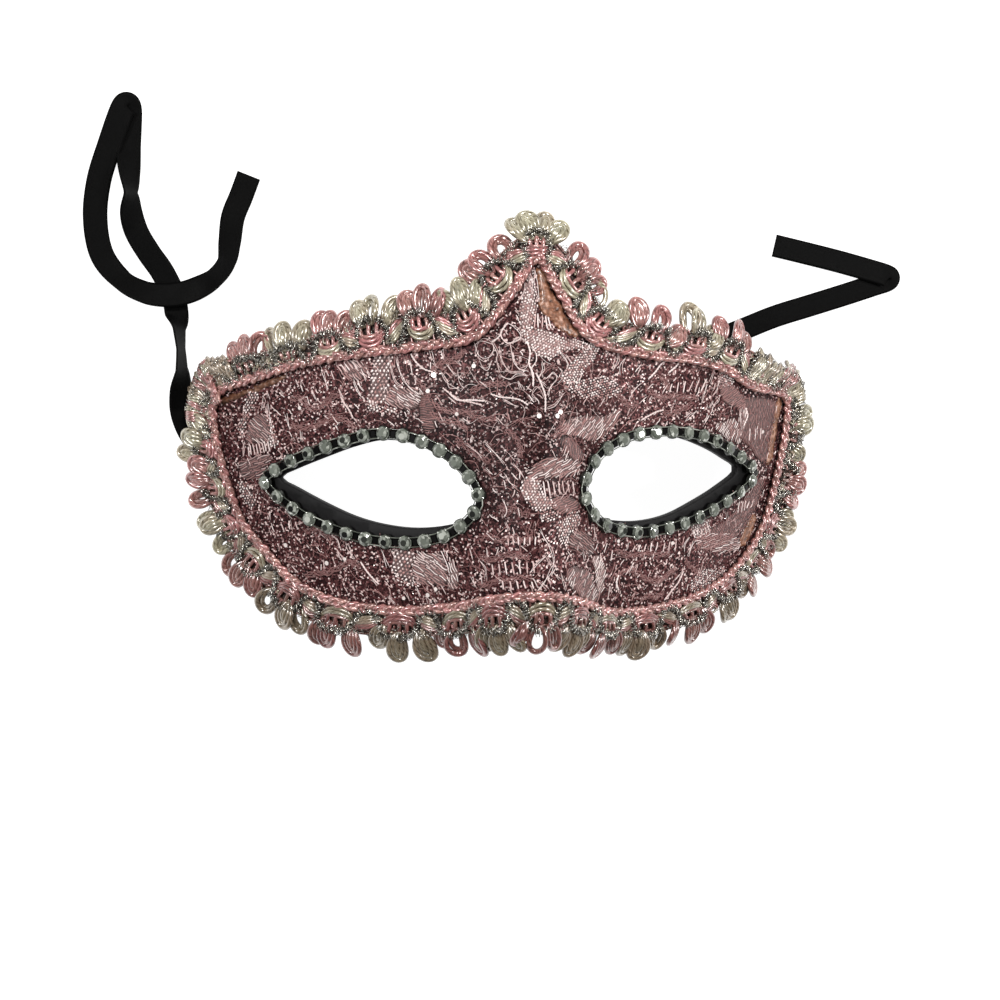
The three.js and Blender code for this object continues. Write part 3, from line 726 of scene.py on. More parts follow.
def make_camera():
    right, up, back = camera_axes()
    data = bpy.data.cameras.new("camera")
    data.sensor_width = SENSOR
    data.lens = SENSOR * CAMERA_DISTANCE / (PHOTO_SIDE * MM_PER_PIXEL)
    data.clip_start, data.clip_end = 0.01, 10
    camera = bpy.data.objects.new("camera", data)
    bpy.context.collection.objects.link(camera)
    turn = Matrix((right, up, back)).transposed().to_4x4()
    camera.matrix_world = Matrix.Translation(metre(CAMERA_TARGET + back * CAMERA_DISTANCE)) @ turn
    bpy.context.scene.camera = camera


def make_stage():
    bpy.ops.mesh.primitive_plane_add(size=FLOOR_SIZE)
    floor = bpy.context.object
    floor.name = "floor"
    floor.data.materials.append(plain_material(
        "floor paper", (0.4, 0.4, 0.395), 0.9, Emission_Color=(1, 1, 1, 1), Emission_Strength=FLOOR_GLOW))
    world = bpy.data.worlds.new("studio")
    world.use_nodes = True
    background = world.node_tree.nodes["Background"]
    background.inputs["Color"].default_value = (1, 0.99, 0.98, 1)
    background.inputs["Strength"].default_value = STUDIO_LIGHT
    bpy.context.scene.world = world
    for name, (place, size, power, colour) in LIGHTS.items():
        data = bpy.data.lights.new(name, "AREA")
        data.size, data.energy, data.color = size, power, colour
        light = bpy.data.objects.new(name, data)
        bpy.context.collection.objects.link(light)
        light.location = place
        aim = Vector(LIGHT_TARGET) - Vector(place)
        light.rotation_euler = aim.to_track_quat("-Z", "Y").to_euler()
    bpy.context.scene.view_settings.view_transform = "Standard"


# Materials. An output is a pair of a node and the name or number of its socket.

def node(tree, kind, inputs=None, **settings):
    """A shader node with its settings, and its inputs as values or outputs to link."""
    made = tree.nodes.new("ShaderNode" + kind)
    for setting, value in settings.items():
        setattr(made, setting, value)
    for name, value in (inputs or {}).items():
        if isinstance(value, tuple) and hasattr(value[0], "outputs"):
            tree.links.new(value[0].outputs[value[1]], made.inputs[name])
        else:
            made.inputs[name].default_value = value
    return made


def place_on(tree):
    return node(tree, "TexCoord"), "Object"


def noise(tree, scale, detail=2.0):
    return node(tree, "TexNoise", {"Vector": place_on(tree), "Scale": scale, "Detail": detail}), "Fac"


def fit(tree, value, low=0.0, high=1.0, least=0.0, most=1.0):
    """A value between low and high, stretched to least and most."""
    return node(tree, "MapRange", {"Value": value, "From Min": low, "From Max": high,
                                   "To Min": least, "To Max": most}), "Result"


def mix(tree, share, first, second, blend="MIX"):
    return node(tree, "Mix", {0: share, 6: first, 7: second}, data_type="RGBA", blend_type=blend), 2


def product(tree, first, second):
    return mix(tree, 1.0, first, second, "MULTIPLY")


def linear(red, green, blue):
    """A colour given as it looks on a screen, as light."""
    return tuple((c / 255 / 12.92) if c <= 10 else ((c / 255 + 0.055) / 1.055) ** 2.4
                 for c in (red, green, blue))


def ramp(tree, value, *stops):
    """Screen colours along a value, each stop a place and a colour."""
    made = node(tree, "ValToRGB", {"Fac": value})
    elements = made.color_ramp.elements
    for element, (place, colour) in zip(elements, (stops[0], stops[-1])):
        element.position = place
        element.color = (*linear(*colour), 1)
    for place, colour in stops[1:-1]:
        elements.new(place).color = (*linear(*colour), 1)
    return made, "Color"


def tone_ramp(tree, *stops):
    """Screen colours that follow each thread's or flake's own tone."""
    return ramp(tree, (node(tree, "Attribute", attribute_name="tone"), "Fac"), *stops)


def plain_material(name, colour, roughness, metallic=0.0, **sockets):
    made = bpy.data.materials.new(name)
    made.use_nodes = True
    inputs = made.node_tree.nodes["Principled BSDF"].inputs
    inputs["Base Color"].default_value = (*colour, 1)
    inputs["Roughness"].default_value = roughness
    inputs["Metallic"].default_value = metallic
    for socket, value in sockets.items():
        inputs[socket.replace("_", " ")].default_value = value
    return made


def finished(material, colour=None, bump=None, metallic=None):
    """Links outputs to a material's shader. A bump is its strength, depth and height."""
    tree = material.node_tree
    links = {"Base Color": colour, "Metallic": metallic}
    if bump:
        strength, depth, height = bump
        relief = node(tree, "Bump", {"Strength": strength, "Distance": depth, "Height": height})
        links["Normal"] = (relief, "Normal")
    for socket, output in links.items():
        if output:
            tree.links.new(output[0].outputs[output[1]],
                           tree.nodes["Principled BSDF"].inputs[socket])
    return material


def toned_material(name, dark, middle, light, roughness, metallic=0.0, **sockets):
    made = plain_material(name, linear(*dark), roughness, metallic, **sockets)
    return finished(made, tone_ramp(made.node_tree, (0, dark), (0.6, middle), (1, light)))


def board_material():
    made = plain_material("black board", linear(13, 12, 13), 0.55, Specular_IOR_Level=0.22)
    return finished(made, bump=(0.25, 0.0002, noise(made.node_tree, 900.0, 4.0)))


def glitter_material():
    """The glittered cover under its fine pink net, with painted shade that darkens it towards the brow."""
    made = plain_material("glitter", linear(70, 47, 46), 0.45, Specular_IOR_Level=0.1)
    tree = made.node_tree
    place = place_on(tree)
    flakes = node(tree, "TexVoronoi", {"Vector": place, "Scale": 2200.0})
    chances = node(tree, "SeparateColor", {"Color": (flakes, "Color")})
    # The flakes' colours by cell; the brightest few stand for silver glitter with painted glints.
    specks_and_glints = ramp(tree, (chances, "Red"), (0.0, (12, 3, 5)), (0.38, (40, 18, 20)),
                  (0.68, (78, 44, 45)), (0.86, (132, 88, 88)), (0.95, (246, 222, 218)))
    cells = node(tree, "TexVoronoi", {"Vector": place, "Scale": 950.0, "Randomness": 0.55},
                 feature="DISTANCE_TO_EDGE")
    net = fit(tree, (cells, "Distance"), 0.03, 0.1, 0.52, 0.0)
    worn = fit(tree, noise(tree, 130.0, 3.0), 0.38, 0.62)
    thread = node(tree, "Math", {0: net, 1: worn}, operation="MULTIPLY"), "Value"
    netted = mix(tree, thread, specks_and_glints, (*linear(114, 71, 71), 1))
    # Painted shade: the cover darkened softly round the brow, where the light falls off.
    brow = node(tree, "Mapping", {"Vector": place, "Location": (0.3, -0.05, 0.0),
                                  "Scale": (25.0, 34.0, 0.0)})
    ball = node(tree, "TexGradient", {"Vector": (brow, "Vector")}, gradient_type="SPHERICAL")
    painted_brow_shade = fit(tree, (ball, "Fac"), 0.0, 0.5, 1.0, 0.5)
    shine = fit(tree, (chances, "Green"), 0.6, 0.75, 0.0, 0.5)
    return finished(made, product(tree, netted, painted_brow_shade), (0.8, 0.00025, (chances, "Blue")), shine)


def lace_material(fibres):
    made = toned_material("lace thread", (108, 66, 65), (184, 136, 132), (255, 240, 237), 0.36,
                          Specular_IOR_Level=0.6, Sheen_Weight=0.1)
    fine = node(made.node_tree, "Group", {"Count": 8.0, "Twist": 0.3}, node_tree=fibres)
    return finished(made, bump=(0.4, 0.0001, (fine, "Height")))


def gauze_material():
    """The thin woven film inside a lace motif."""
    made = plain_material("lace gauze", linear(50, 25, 27), 0.6, Sheen_Weight=0.05)
    tree = made.node_tree
    weave = node(tree, "TexWave", {"Vector": (node(tree, "TexCoord"), "UV"), "Scale": 0.55,
                                   "Distortion": 1.6, "Detail Scale": 2.0}, bands_direction="Y"), "Fac"
    tone = tone_ramp(tree, (0, (50, 25, 27)), (1, (226, 188, 183)))
    woven = product(tree, tone, fit(tree, weave, least=0.45, most=1.1))
    return finished(made, woven, (0.7, 0.00015, weave))


def glue_material():
    made = plain_material("dried glue", linear(140, 98, 78), 0.3, Transmission_Weight=0.1, IOR=1.48,
                          Coat_Weight=0.15)
    tree = made.node_tree
    cloud = noise(tree, 800.0, 5.0)
    mottled = ramp(tree, cloud, (0.3, (70, 42, 30)), (0.54, (152, 102, 76)), (0.74, (232, 192, 172)))
    lightness = node(tree, "Attribute", attribute_name="tone"), "Color"
    return finished(made, product(tree, mottled, lightness), (0.6, 0.0005, cloud))


def thread_group():
    """The fibres of a satin cord: a height and a shade that run along it."""
    group = bpy.data.node_groups.new("thread fibres", "ShaderNodeTree")
    for name, way in (("Count", "INPUT"), ("Twist", "INPUT"), ("Height", "OUTPUT"), ("Shade", "OUTPUT")):
        group.interface.new_socket(name, in_out=way, socket_type="NodeSocketFloat")
    entry = group.nodes.new("NodeGroupInput")
    leave = group.nodes.new("NodeGroupOutput")
    parts = node(group, "SeparateXYZ", {"Vector": (node(group, "TexCoord"), "UV")})
    turned = node(group, "Math", {0: (parts, "X"), 1: (entry, "Twist"), 2: (parts, "Y")},
                  operation="MULTIPLY_ADD")
    across = node(group, "Math", {0: (turned, "Value"), 1: (entry, "Count")}, operation="MULTIPLY")
    along = node(group, "Math", {0: (parts, "X"), 1: 0.7}, operation="MULTIPLY")
    spot = node(group, "CombineXYZ", {"X": (along, "Value"), "Y": (across, "Value")})
    fibres = node(group, "TexNoise", {"Vector": (spot, "Vector"), "Scale": 1.0, "Detail": 3.0})
    broad, fac = noise(group, 260.0)
    group.links.new(fibres.outputs["Fac"], leave.inputs["Height"])
    group.links.new(broad.outputs[fac], leave.inputs["Shade"])
    return group


def painted_shade(tree, colour, least):
    """Painted shade: a warm darkening of a colour in the hollows between cords, by each cord's own painted
    shade.
    """
    shade = node(tree, "Attribute", attribute_name="shade")
    warm_shade = node(tree, "ValToRGB", {"Fac": (shade, "Fac")})
    warm_shade.color_ramp.elements[0].color = (1.4 * least, 0.8 * least, 0.55 * least, 1)
    return product(tree, colour, (warm_shade, "Color"))


def satin_material(fibres):
    made = plain_material("satin cord", linear(196, 148, 144), 0.23, 0.18, Specular_IOR_Level=1.0,
                          Coat_Weight=0.8, Coat_Roughness=0.18, Coat_IOR=1.7)
    tree = made.node_tree
    thick = node(tree, "Group", {"Count": 10.0, "Twist": 0.12}, node_tree=fibres)
    # Lit and shaded copies of each satin colour, mixed by the fibres' relief: a painted highlight on the
    # raised fibres and painted shade between them. The shade attribute then adds painted shade in the
    # hollows.
    light = tone_ramp(tree, (0, (224, 152, 150)), (1, (226, 221, 192)))
    dark = tone_ramp(tree, (0, (86, 34, 35)), (1, (92, 80, 48)))
    lit_and_shaded_fibres = mix(tree, fit(tree, (thick, "Height"), 0.3, 0.62), dark, light)
    dulled = product(tree, lit_and_shaded_fibres, fit(tree, (thick, "Shade"), 0.3, 0.7, 0.62, 1.0))
    return finished(made, painted_shade(tree, dulled, 0.16), (0.3, 0.0001, (thick, "Height")))


def ground_and_shade_material():
    # Dark for the black board under the braid, and painted shade in the hollows between its cords.
    made = plain_material("braid ground and shade", linear(70, 48, 44), 0.75)
    spots = noise(made.node_tree, 1500.0, 3.0)
    colour = ramp(made.node_tree, spots, (0.4, (24, 13, 11)), (0.68, (104, 78, 70)))
    return finished(made, colour, (0.8, 0.0004, spots))


def wire_material():
    """Silver wire in random dark and bright spots of painted shade and painted glints, with painted shade
    in its hollows too.
    """
    made = plain_material("silver wire", linear(215, 215, 205), 0.2, 0.75)
    tree = made.node_tree
    painted_glints_and_shade = ramp(tree, noise(tree, 1400.0), (0.42, (52, 42, 34)), (0.58, (246, 243, 234)))
    return finished(made, painted_shade(tree, painted_glints_and_shade, 0.12))


def ribbon_material():
    made = plain_material("black satin", linear(4, 4, 4), 0.55, Specular_IOR_Level=0.06)
    tree = made.node_tree
    weave = node(tree, "TexWave", {"Vector": (node(tree, "TexCoord"), "UV"), "Scale": 3.0},
                 bands_direction="X")
    return finished(made, bump=(0.3, 0.00008, (weave, "Fac")))


# Pieces.

LACE = ("lace_cover", "lace")
BRAID = ("braid_trim", "braid")


def dress(piece, cad_node):
    """Settles a finished piece: it rides on the mask and stands for its CAD node."""
    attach(piece, "root")
    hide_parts(cad_node)
    return piece


class Pile:
    """The cords, threads or facets of one piece, gathered into one mesh."""

    def __init__(self, toned="POINT"):
        self.points, self.faces, self.uvs, self.tones, self.shades = [], [], [], [], []
        self.count = 0
        self.toned = toned

    def add(self, points, faces, uvs, tone=0.5, shade=1.0):
        """faces are lists of corners; tone and shade may differ from place to place."""
        self.points.append(points)
        self.faces.extend([corner + self.count for corner in face] for face in faces)
        self.uvs.append(uvs.reshape(-1, 2))
        toned = len(points) if self.toned == "POINT" else len(faces)
        self.tones.append(np.broadcast_to(np.asarray(tone, float), toned))
        self.shades.append(np.broadcast_to(np.asarray(shade, float), len(points)))
        self.count += len(points)

    def piece(self, name, material, cad_node, slot, smooth=True):
        mesh = bpy.data.meshes.new(name)
        mesh.from_pydata(metre(np.vstack(self.points)).tolist(), [], self.faces)
        layer = mesh.uv_layers.new(name="UVMap")
        layer.data.foreach_set("uv", np.vstack(self.uvs).astype(np.float32).ravel())
        for label, values, domain in (("tone", self.tones, self.toned), ("shade", self.shades, "POINT")):
            attribute = mesh.attributes.new(label, "FLOAT", domain)
            attribute.data.foreach_set("value", np.concatenate(values).astype(np.float32))
        mesh.polygons.foreach_set("use_smooth", [smooth] * len(mesh.polygons))
        mesh.materials.append(material)
        made = bpy.data.objects.new(name, mesh)
        bpy.context.collection.objects.link(made)
        return dress(made, cad_node)


def directions(line, closed=False):
    if closed:
        return unit(np.roll(line, -1, 0) - np.roll(line, 1, 0))
    return unit(np.gradient(line, axis=0))


def across_line(line, up=None, closed=False):
    """Directions across a line: to its side, and up off the face unless up says otherwise."""
    along = directions(line, closed)
    up = face_up(line) if up is None else np.broadcast_to(np.asarray(up, float), line.shape)
    side = unit(np.cross(up, along))
    return side, np.cross(along, side)


def lattice(rings, corners, along, across, closed):
    """The faces between rings of points, and the pattern's places at their corners."""
    ring, corner = np.meshgrid(np.arange(rings if closed else rings - 1), np.arange(corners), indexing="ij")
    after, other = (ring + 1) % rings, (corner + 1) % corners
    faces = np.stack([ring * corners + corner, ring * corners + other,
                      after * corners + other, after * corners + corner], -1)
    low, high, near, far = along[ring], along[ring + 1], across[corner], across[corner + 1]
    uvs = np.stack([low, near, low, far, high, far, high, near], -1)
    return faces.reshape(-1, 4), uvs.reshape(-1, 4, 2)


def cord(pile, line, radius, sides=8, tone=0.5, flat=1.0, shade=1.0, up=None, closed=False):
    """A round or oval cord along a line. flat is its thickness as a share of its width,
    and its shade darkens from its top to its underside."""
    line = np.asarray(line, float)
    count = len(line)
    side, top = across_line(line, up, closed)
    radius = np.broadcast_to(np.asarray(radius, float), count)[:, None]
    angles = np.arange(sides) * 2 * math.pi / sides
    rings = [line + radius * (math.cos(a) * side + flat * math.sin(a) * top) for a in angles]
    faces, uvs = lattice(count, sides, distances(np.vstack([line, line[:1]])),
                         np.arange(sides + 1) / sides, closed)
    faces = faces.tolist()
    if not closed:
        faces += [list(range(sides))[::-1], list(range((count - 1) * sides, count * sides))]
        uvs = np.vstack([uvs.reshape(-1, 2), np.zeros((2 * sides, 2))])
    shades = np.outer(np.broadcast_to(np.asarray(shade, float), count), (0.5 + 0.5 * np.sin(angles)) ** 0.8)
    pile.add(np.stack(rings, 1).reshape(-1, 3), faces, uvs, tone, shades.ravel())


def wound(line, radius, turns, steps, phase=0.0, flat=1.0, lobes=1, closed=False):
    """A line that winds round another, as a wire does, or plaits along it with two lobes."""
    count = max(int(turns * steps), 4)
    joined = even(np.hstack([line, face_up(line)]), count, closed)
    line, up = joined[:, :3], joined[:, 3:]
    side, top = across_line(line, up, closed)
    angle = (phase + 2 * math.pi * turns * np.arange(count) / (count if closed else count - 1))[:, None]
    return line + radius * (np.cos(angle) * side + flat * np.sin(lobes * angle) * top)


# Modelled patterns, and the base and its cover.

@contextmanager
def editing(select_all=True):
    """Edit mode on the active object, by default with all of it selected."""
    bpy.ops.object.mode_set(mode="EDIT")
    if select_all:
        bpy.ops.mesh.select_all(action="SELECT")
    yield
    bpy.ops.object.mode_set(mode="OBJECT")


def take_pattern():
    """The points and faces of the object just modelled, which then goes."""
    piece = bpy.context.object
    points = np.array([tuple(v.co) for v in piece.data.vertices])
    faces = [list(p.vertices) for p in piece.data.polygons]
    bpy.data.objects.remove(piece)
    return points, faces


def set_down(pile, pattern, place, along, up, tone=0.5, size=1.0):
    """Puts a copy of a pattern at a place, its X along a direction and its Z up."""
    points, faces = pattern
    side = unit(np.cross(up, along))
    axes = np.stack([np.cross(side, up), side, up])
    corners = sum(len(face) for face in faces)
    pile.add(place + (points * size) @ axes, faces, np.zeros((corners, 2)), tone)


def select_only(piece):
    bpy.ops.object.select_all(action="DESELECT")
    piece.select_set(True)
    bpy.context.view_layer.objects.active = piece


def prism(name, outline, low, high):
    """An upright block over a plan outline."""
    bpy.ops.object.select_all(action="DESELECT")
    bpy.ops.mesh.primitive_circle_add(vertices=len(outline), fill_type="NGON")
    block = bpy.context.object
    block.name = name
    for vertex, place in zip(block.data.vertices, outline):
        vertex.co = (*place, low)
    with editing():
        bpy.ops.mesh.extrude_region_move(TRANSFORM_OT_translate={"value": (0, 0, high - low)})
        bpy.ops.mesh.select_all(action="SELECT")
        bpy.ops.mesh.normals_make_consistent(inside=False)
    return block


def apply_modifier(piece, kind, **settings):
    select_only(piece)
    modifier = piece.modifiers.new(kind, kind)
    for setting, value in settings.items():
        setattr(modifier, setting, value)
    bpy.ops.object.modifier_apply(modifier=modifier.name)


def plate(name, outline, holes, thickness, bevel, grid):
    """A flat plate with holes and rounded rims, divided finely enough to bend."""
    body = prism(name, outline, 0, thickness)
    for hole in holes:
        cutter = prism("cutter", hole, -1, thickness + 1)
        apply_modifier(body, "BOOLEAN", operation="DIFFERENCE", solver="EXACT", object=cutter)
        bpy.data.objects.remove(cutter)
    apply_modifier(body, "BEVEL", width=bevel, segments=2, limit_method="ANGLE",
                   angle_limit=EDGE_ANGLE, use_clamp_overlap=False)
    with editing():
        bpy.ops.mesh.quads_convert_to_tris()
        for axis in (0, 1):
            first, last = outline[:, axis].min() + grid / 2, outline[:, axis].max()
            for cut in np.arange(first, last, grid):
                bpy.ops.mesh.select_all(action="SELECT")
                bpy.ops.mesh.bisect(plane_co=(cut, cut, 0), plane_no=(1 - axis, axis, 0))
    return body


def make_shell(name, inset, eyes, thickness, bevel, grid, rise, look, cad_node, slot):
    """A curved board with eye holes: a plate that is bent over the face, its top at a rise."""
    piece = plate(name, base_outline(inset), [eye_outline(eye, EYE_POINTS) for eye in eyes],
                  thickness, bevel, grid)
    flat = np.array([tuple(vertex.co) for vertex in piece.data.vertices])
    bent = metre(on_face(flat[:, :2], flat[:, 2] - thickness + rise))
    piece.data.vertices.foreach_set("co", bent.astype(np.float32).ravel())
    piece.data.update()
    select_only(piece)
    bpy.ops.object.shade_smooth_by_angle(angle=EDGE_ANGLE)
    piece.data.materials.append(look)
    return dress(piece, cad_node)


# The lace.

def on_cover(plan, rise):
    return on_face(plan, COVER_RISE + rise)


def seen_at(pixels, rise=COVER_RISE):
    """The plan points whose places, at a rise above the face, show at pixels of the photograph."""
    pixels = np.asarray(pixels, float)
    right, up, back = camera_axes()
    place = CAMERA_TARGET + back * CAMERA_DISTANCE
    across, down = ((pixels - PHOTO_SIDE / 2) * MM_PER_PIXEL / CAMERA_DISTANCE).T
    ray = across[:, None] * right - down[:, None] * up - back
    plan = place[:2] - ray[:, :2] * (place[2] - CAMERA_TARGET[2]) / ray[:, 2:]
    for _ in range(16):
        placed = on_face(plan, rise)
        reach = (placed[:, 2] - place[2]) / ray[:, 2]
        plan = plan + place[:2] + reach[:, None] * ray[:, :2] - placed[:, :2]
    return plan


def lace_thread(pile, pixels, radius, tone, rise):
    line = on_cover(open_line(seen_at(pixels), 5 * len(pixels) + 2), rise)
    steps = np.arange(len(line))
    taper = np.clip(np.minimum(steps, steps[::-1]) / 2.0, 0, 1)
    cord(pile, line, radius * (0.45 + 0.55 * taper), 5, tone, 0.8)


def lace_cord(pile, pixels, radius, tone):
    """A cord of two threads twisted together."""
    line = on_cover(open_line(seen_at(pixels), 8 * len(pixels)), radius * 1.3)
    for phase in (0.0, math.pi):
        path = wound(line, radius, line_length(line) / CORD_PITCH, 10, phase)
        cord(pile, path, radius * 0.95, 5, tone)


def lace_band(pile, pixels, chance):
    """A dull flat braid of the lace, whose threads stray a little."""
    line = on_cover(open_line(seen_at(pixels), 8 * len(pixels)), 0.08)
    side, _ = across_line(line)
    steps = np.arange(len(line))
    for hand in (-1, -0.6, -0.2, 0.2, 0.6, 1):
        stray = hand * 0.6 + 0.22 * np.sin(steps * chance.uniform(0.7, 1.5) + chance.uniform(0, 6))
        cord(pile, line + side * stray[:, None], BAND_RADIUS, 4, chance.uniform(0.0, 0.42),
             up=face_up(line))


def inside(points, outline):
    """Whether each plan point lies inside a closed outline."""
    x, y = points[:, 0][:, None], points[:, 1][:, None]
    x1, y1 = outline[:, 0][None], outline[:, 1][None]
    x2, y2 = np.roll(x1, -1), np.roll(y1, -1)
    crosses = (y1 > y) != (y2 > y)
    at = x1 + (y - y1) * (x2 - x1) / np.where(y2 == y1, 1e-9, y2 - y1)
    return (crosses & (x < at)).sum(1) % 2 == 1


def edge_distance(points, outline):
    return np.min(np.linalg.norm(points[:, None] - outline[None], axis=2), axis=1)


def patch_outline(pixels):
    return even_ring(seen_at(pixels), 12, 8 * len(pixels))


def slant(angle):
    """The plan directions along and across rows that lie at an angle in degrees."""
    along = heading(math.radians(angle))[:2]
    return along, np.array([-along[1], along[0]])


def rows_inside(outline, angle, row_pitch, pitch, stagger):
    """Plan points in slanting rows that fill an outline."""
    along, across = slant(angle)
    middle = outline.mean(0)
    reach = np.abs(outline - middle).max() * 1.5
    found = []
    for number, off in enumerate(np.arange(-reach, reach, row_pitch)):
        steps = np.arange(-reach, reach, pitch) + (number % 2) * stagger
        row = middle + off * across + steps[:, None] * along
        row = row[inside(row, outline)]
        if len(row):
            found.append(row)
    return found


def swell(pile, outline, pitch, low, dome, reach, tone, angle=0.0):
    """A closed film over an outline, domed towards its middle."""
    inner = np.vstack([np.zeros((0, 2)), *rows_inside(outline, angle, pitch, pitch, pitch / 2)])
    inner = inner[edge_distance(inner, outline) > pitch * 0.6]
    count = len(outline)
    edges = [(k, (k + 1) % count) for k in range(count)]
    corners = [Vector(point) for point in np.vstack([outline, inner])]
    verts, _, faces, *_ = delaunay_2d_cdt(corners, edges, [], 1, 1e-6)
    plan = np.array([tuple(v) for v in verts])
    away = edge_distance(plan, outline)
    top = on_face(plan, low + dome * np.sin(np.clip(away / reach, 0, 1) * math.pi / 2))
    off_rim = away >= 1e-4
    bottom = on_face(plan[off_rim], low - 0.05)
    below = np.arange(len(plan))
    below[off_rim] = len(plan) + np.arange(len(bottom))
    first, second, third = plan[list(faces[0])[:3]]
    turn = -1 if np.linalg.det([second - first, third - first]) < 0 else 1
    tops = [list(face)[::turn] for face in faces]
    bottoms = [below[face[::-1]].tolist() for face in tops]
    lying = plan @ np.transpose(slant(angle))
    uvs = np.vstack([lying[face] for face in tops] + [lying[face[::-1]] for face in tops])
    pile.add(np.vstack([top, bottom]), tops + bottoms, uvs, tone)


def knot_pattern():
    """One raised stitch of the lace: a small oval bead, flattened."""
    bpy.ops.object.select_all(action="DESELECT")
    bpy.ops.mesh.primitive_ico_sphere_add(subdivisions=1, radius=0.36)
    with editing():
        bpy.ops.transform.resize(value=(1.15, 0.75, 0.5))
    return take_pattern()


def stitches(pile, knot, outline, kind, angle, tone, chance):
    """Raised stitches in rows over a patch."""
    row_pitch, pitch, size = KNOT_GRIDS[kind]
    for row in rows_inside(outline, angle, row_pitch, pitch, pitch / 2):
        row = row + strewn(chance, len(row), 0.07)
        for place, up in zip(on_cover(row, KNOT_RISE), face_up(row)):
            turn = math.radians(angle) + chance.gauss(0, 0.5)
            set_down(pile, knot, place, heading(turn), up,
                     min(0.5 + 0.6 * tone + chance.uniform(-0.55, 0.25), 1),
                     size * chance.uniform(0.75, 1.2))


def hatching(pile, outline, kind, angle, tone, chance):
    """Short waving threads in rows over a patch."""
    spread = 1.0 if kind == "hatch" else 0.35
    across = slant(angle)[1] * 0.14
    for row in rows_inside(outline, angle, 0.58, 0.4, 0.0):
        start = 0
        while len(row) - start > 3:
            stretch = row[start:start + chance.randint(4, 10)]
            start += len(stretch)
            waving = np.sin(np.arange(len(stretch)) * 0.7 + chance.uniform(0, 6))
            line = on_cover(stretch + waving[:, None] * across, HATCH_RISE)
            cord(pile, line, chance.uniform(0.1, 0.15), 4,
                 min(0.35 * spread + 0.7 * tone + spread * chance.uniform(-0.5, 0.25), 1), 0.8)


def make_lace(thread, gauze):
    chance = random.Random(SEED + 3)
    threads, cords, films, knots = Pile(), Pile(), Pile(), Pile()
    for pixels in sum(BRIGHT_THREADS.values(), []):
        for _ in range(2):
            strayed = pixels + strewn(chance, len(pixels), 1.0)
            lace_thread(threads, strayed, BRIGHT_RADIUS, chance.uniform(0.75, 1.0), 0.12)
    for pixels in sum(LACE_CORDS.values(), []):
        lace_cord(cords, pixels, CORD_RADIUS, chance.uniform(0.85, 1.0))
    for pixels in sum(DULL_BANDS.values(), []):
        lace_band(cords, pixels, chance)
    for top_first, foot_first, top_last, foot_last, count in sum(LADDERS.values(), []):
        for share in np.linspace(0, 1, count):
            top = np.array(top_first) * (1 - share) + np.array(top_last) * share
            foot = np.array(foot_first) * (1 - share) + np.array(foot_last) * share
            top, foot = top + chance.uniform(-0.8, 0.8), foot + chance.uniform(-0.8, 0.8)
            lace_thread(threads, [top, (top + foot) / 2 + chance.uniform(-0.3, 0.3), foot],
                        LADDER_RADIUS, chance.uniform(0.7, 1.0), 0.14)
    knot = knot_pattern()
    for kind, angle, tone, pixels in LACE_PATCHES:
        outline = patch_outline(pixels)
        film = FILM_TONES[kind] * tone if kind in FILM_TONES else 0.42 * tone ** 6
        swell(films, outline, 1.1, COVER_RISE - 0.02, 0.1, 0.8, film, angle)
        if kind in KNOT_GRIDS:
            stitches(knots, knot, outline, kind, angle, tone, chance)
        else:
            hatching(threads, outline, kind, angle, tone, chance)
    threads.piece("lace_threads", thread, *LACE)
    cords.piece("lace_cords", thread, *LACE)
    knots.piece("lace_knots", thread, *LACE)
    films.piece("lace_gauze", gauze, *LACE)


def field_places(count, chance, margin):
    """Plan points spread by chance over the cover, clear of the braid and the stones."""
    edge = inner_line(np.arange(0, len(RIBS), 0.25))
    rings = [eye_outline(points, 60) for points in (STONES_LEFT, STONES_RIGHT)]
    lowest, highest = edge.min(0), edge.max(0)
    found = []
    while len(found) < count:
        plan = np.array([[chance.uniform(lowest[0], highest[0]), chance.uniform(lowest[1], highest[1])]
                         for _ in range(count)])
        keep = inside(plan, edge) & (edge_distance(plan, edge) > margin)
        for ring in rings:
            keep &= ~inside(plan, ring) & (edge_distance(plan, ring) > 2.2)
        found.extend(plan[keep].tolist())
    return np.array(found[:count])


def make_net(look):
    """Fine threads that wander over the cover between the motifs, and short bright ends."""
    chance = random.Random(SEED + 4)
    pile = Pile()
    spots = field_places(NET_THREADS, chance, 1.6).tolist()
    on_brow = [spot for spot in field_places(BROW_THREADS, chance, 1.6)
               if math.hypot(spot[0] / 18, spot[1] / 16 - 1.3) < 1]
    for number, start in enumerate(spots + on_brow):
        bright = number >= len(spots)
        way = chance.choice((0.5, 0.9, 2.2, 2.6)) + chance.uniform(-0.3, 0.3)
        bend = chance.uniform(-0.25, 0.25)
        plan = [np.array(start)]
        for _ in range(7):
            way += bend + chance.uniform(-0.3, 0.3)
            plan.append(plan[-1] + 0.7 * heading(way)[:2])
        tone = chance.uniform(0.4, 1.0) if bright else chance.uniform(0.0, 0.55)
        cord(pile, on_cover(plan, 0.06), BROW_RADIUS if bright else NET_RADIUS, 4, tone, 0.8)
    for start in field_places(LOOSE_ENDS, chance, 1.6):
        way = math.radians((-62 if start[0] < 5 else -118) + chance.gauss(0, 14))
        steps = np.linspace(0, 1, 4)[:, None] * chance.uniform(0.9, 2.6)
        plan = start + steps * heading(way)[:2] + strewn(chance, 4, 0.08)
        cord(pile, on_cover(plan, 0.12), LOOSE_RADIUS, 4, chance.uniform(0.65, 1.0), 0.8)
    pile.piece("lace_net", look, *LACE)


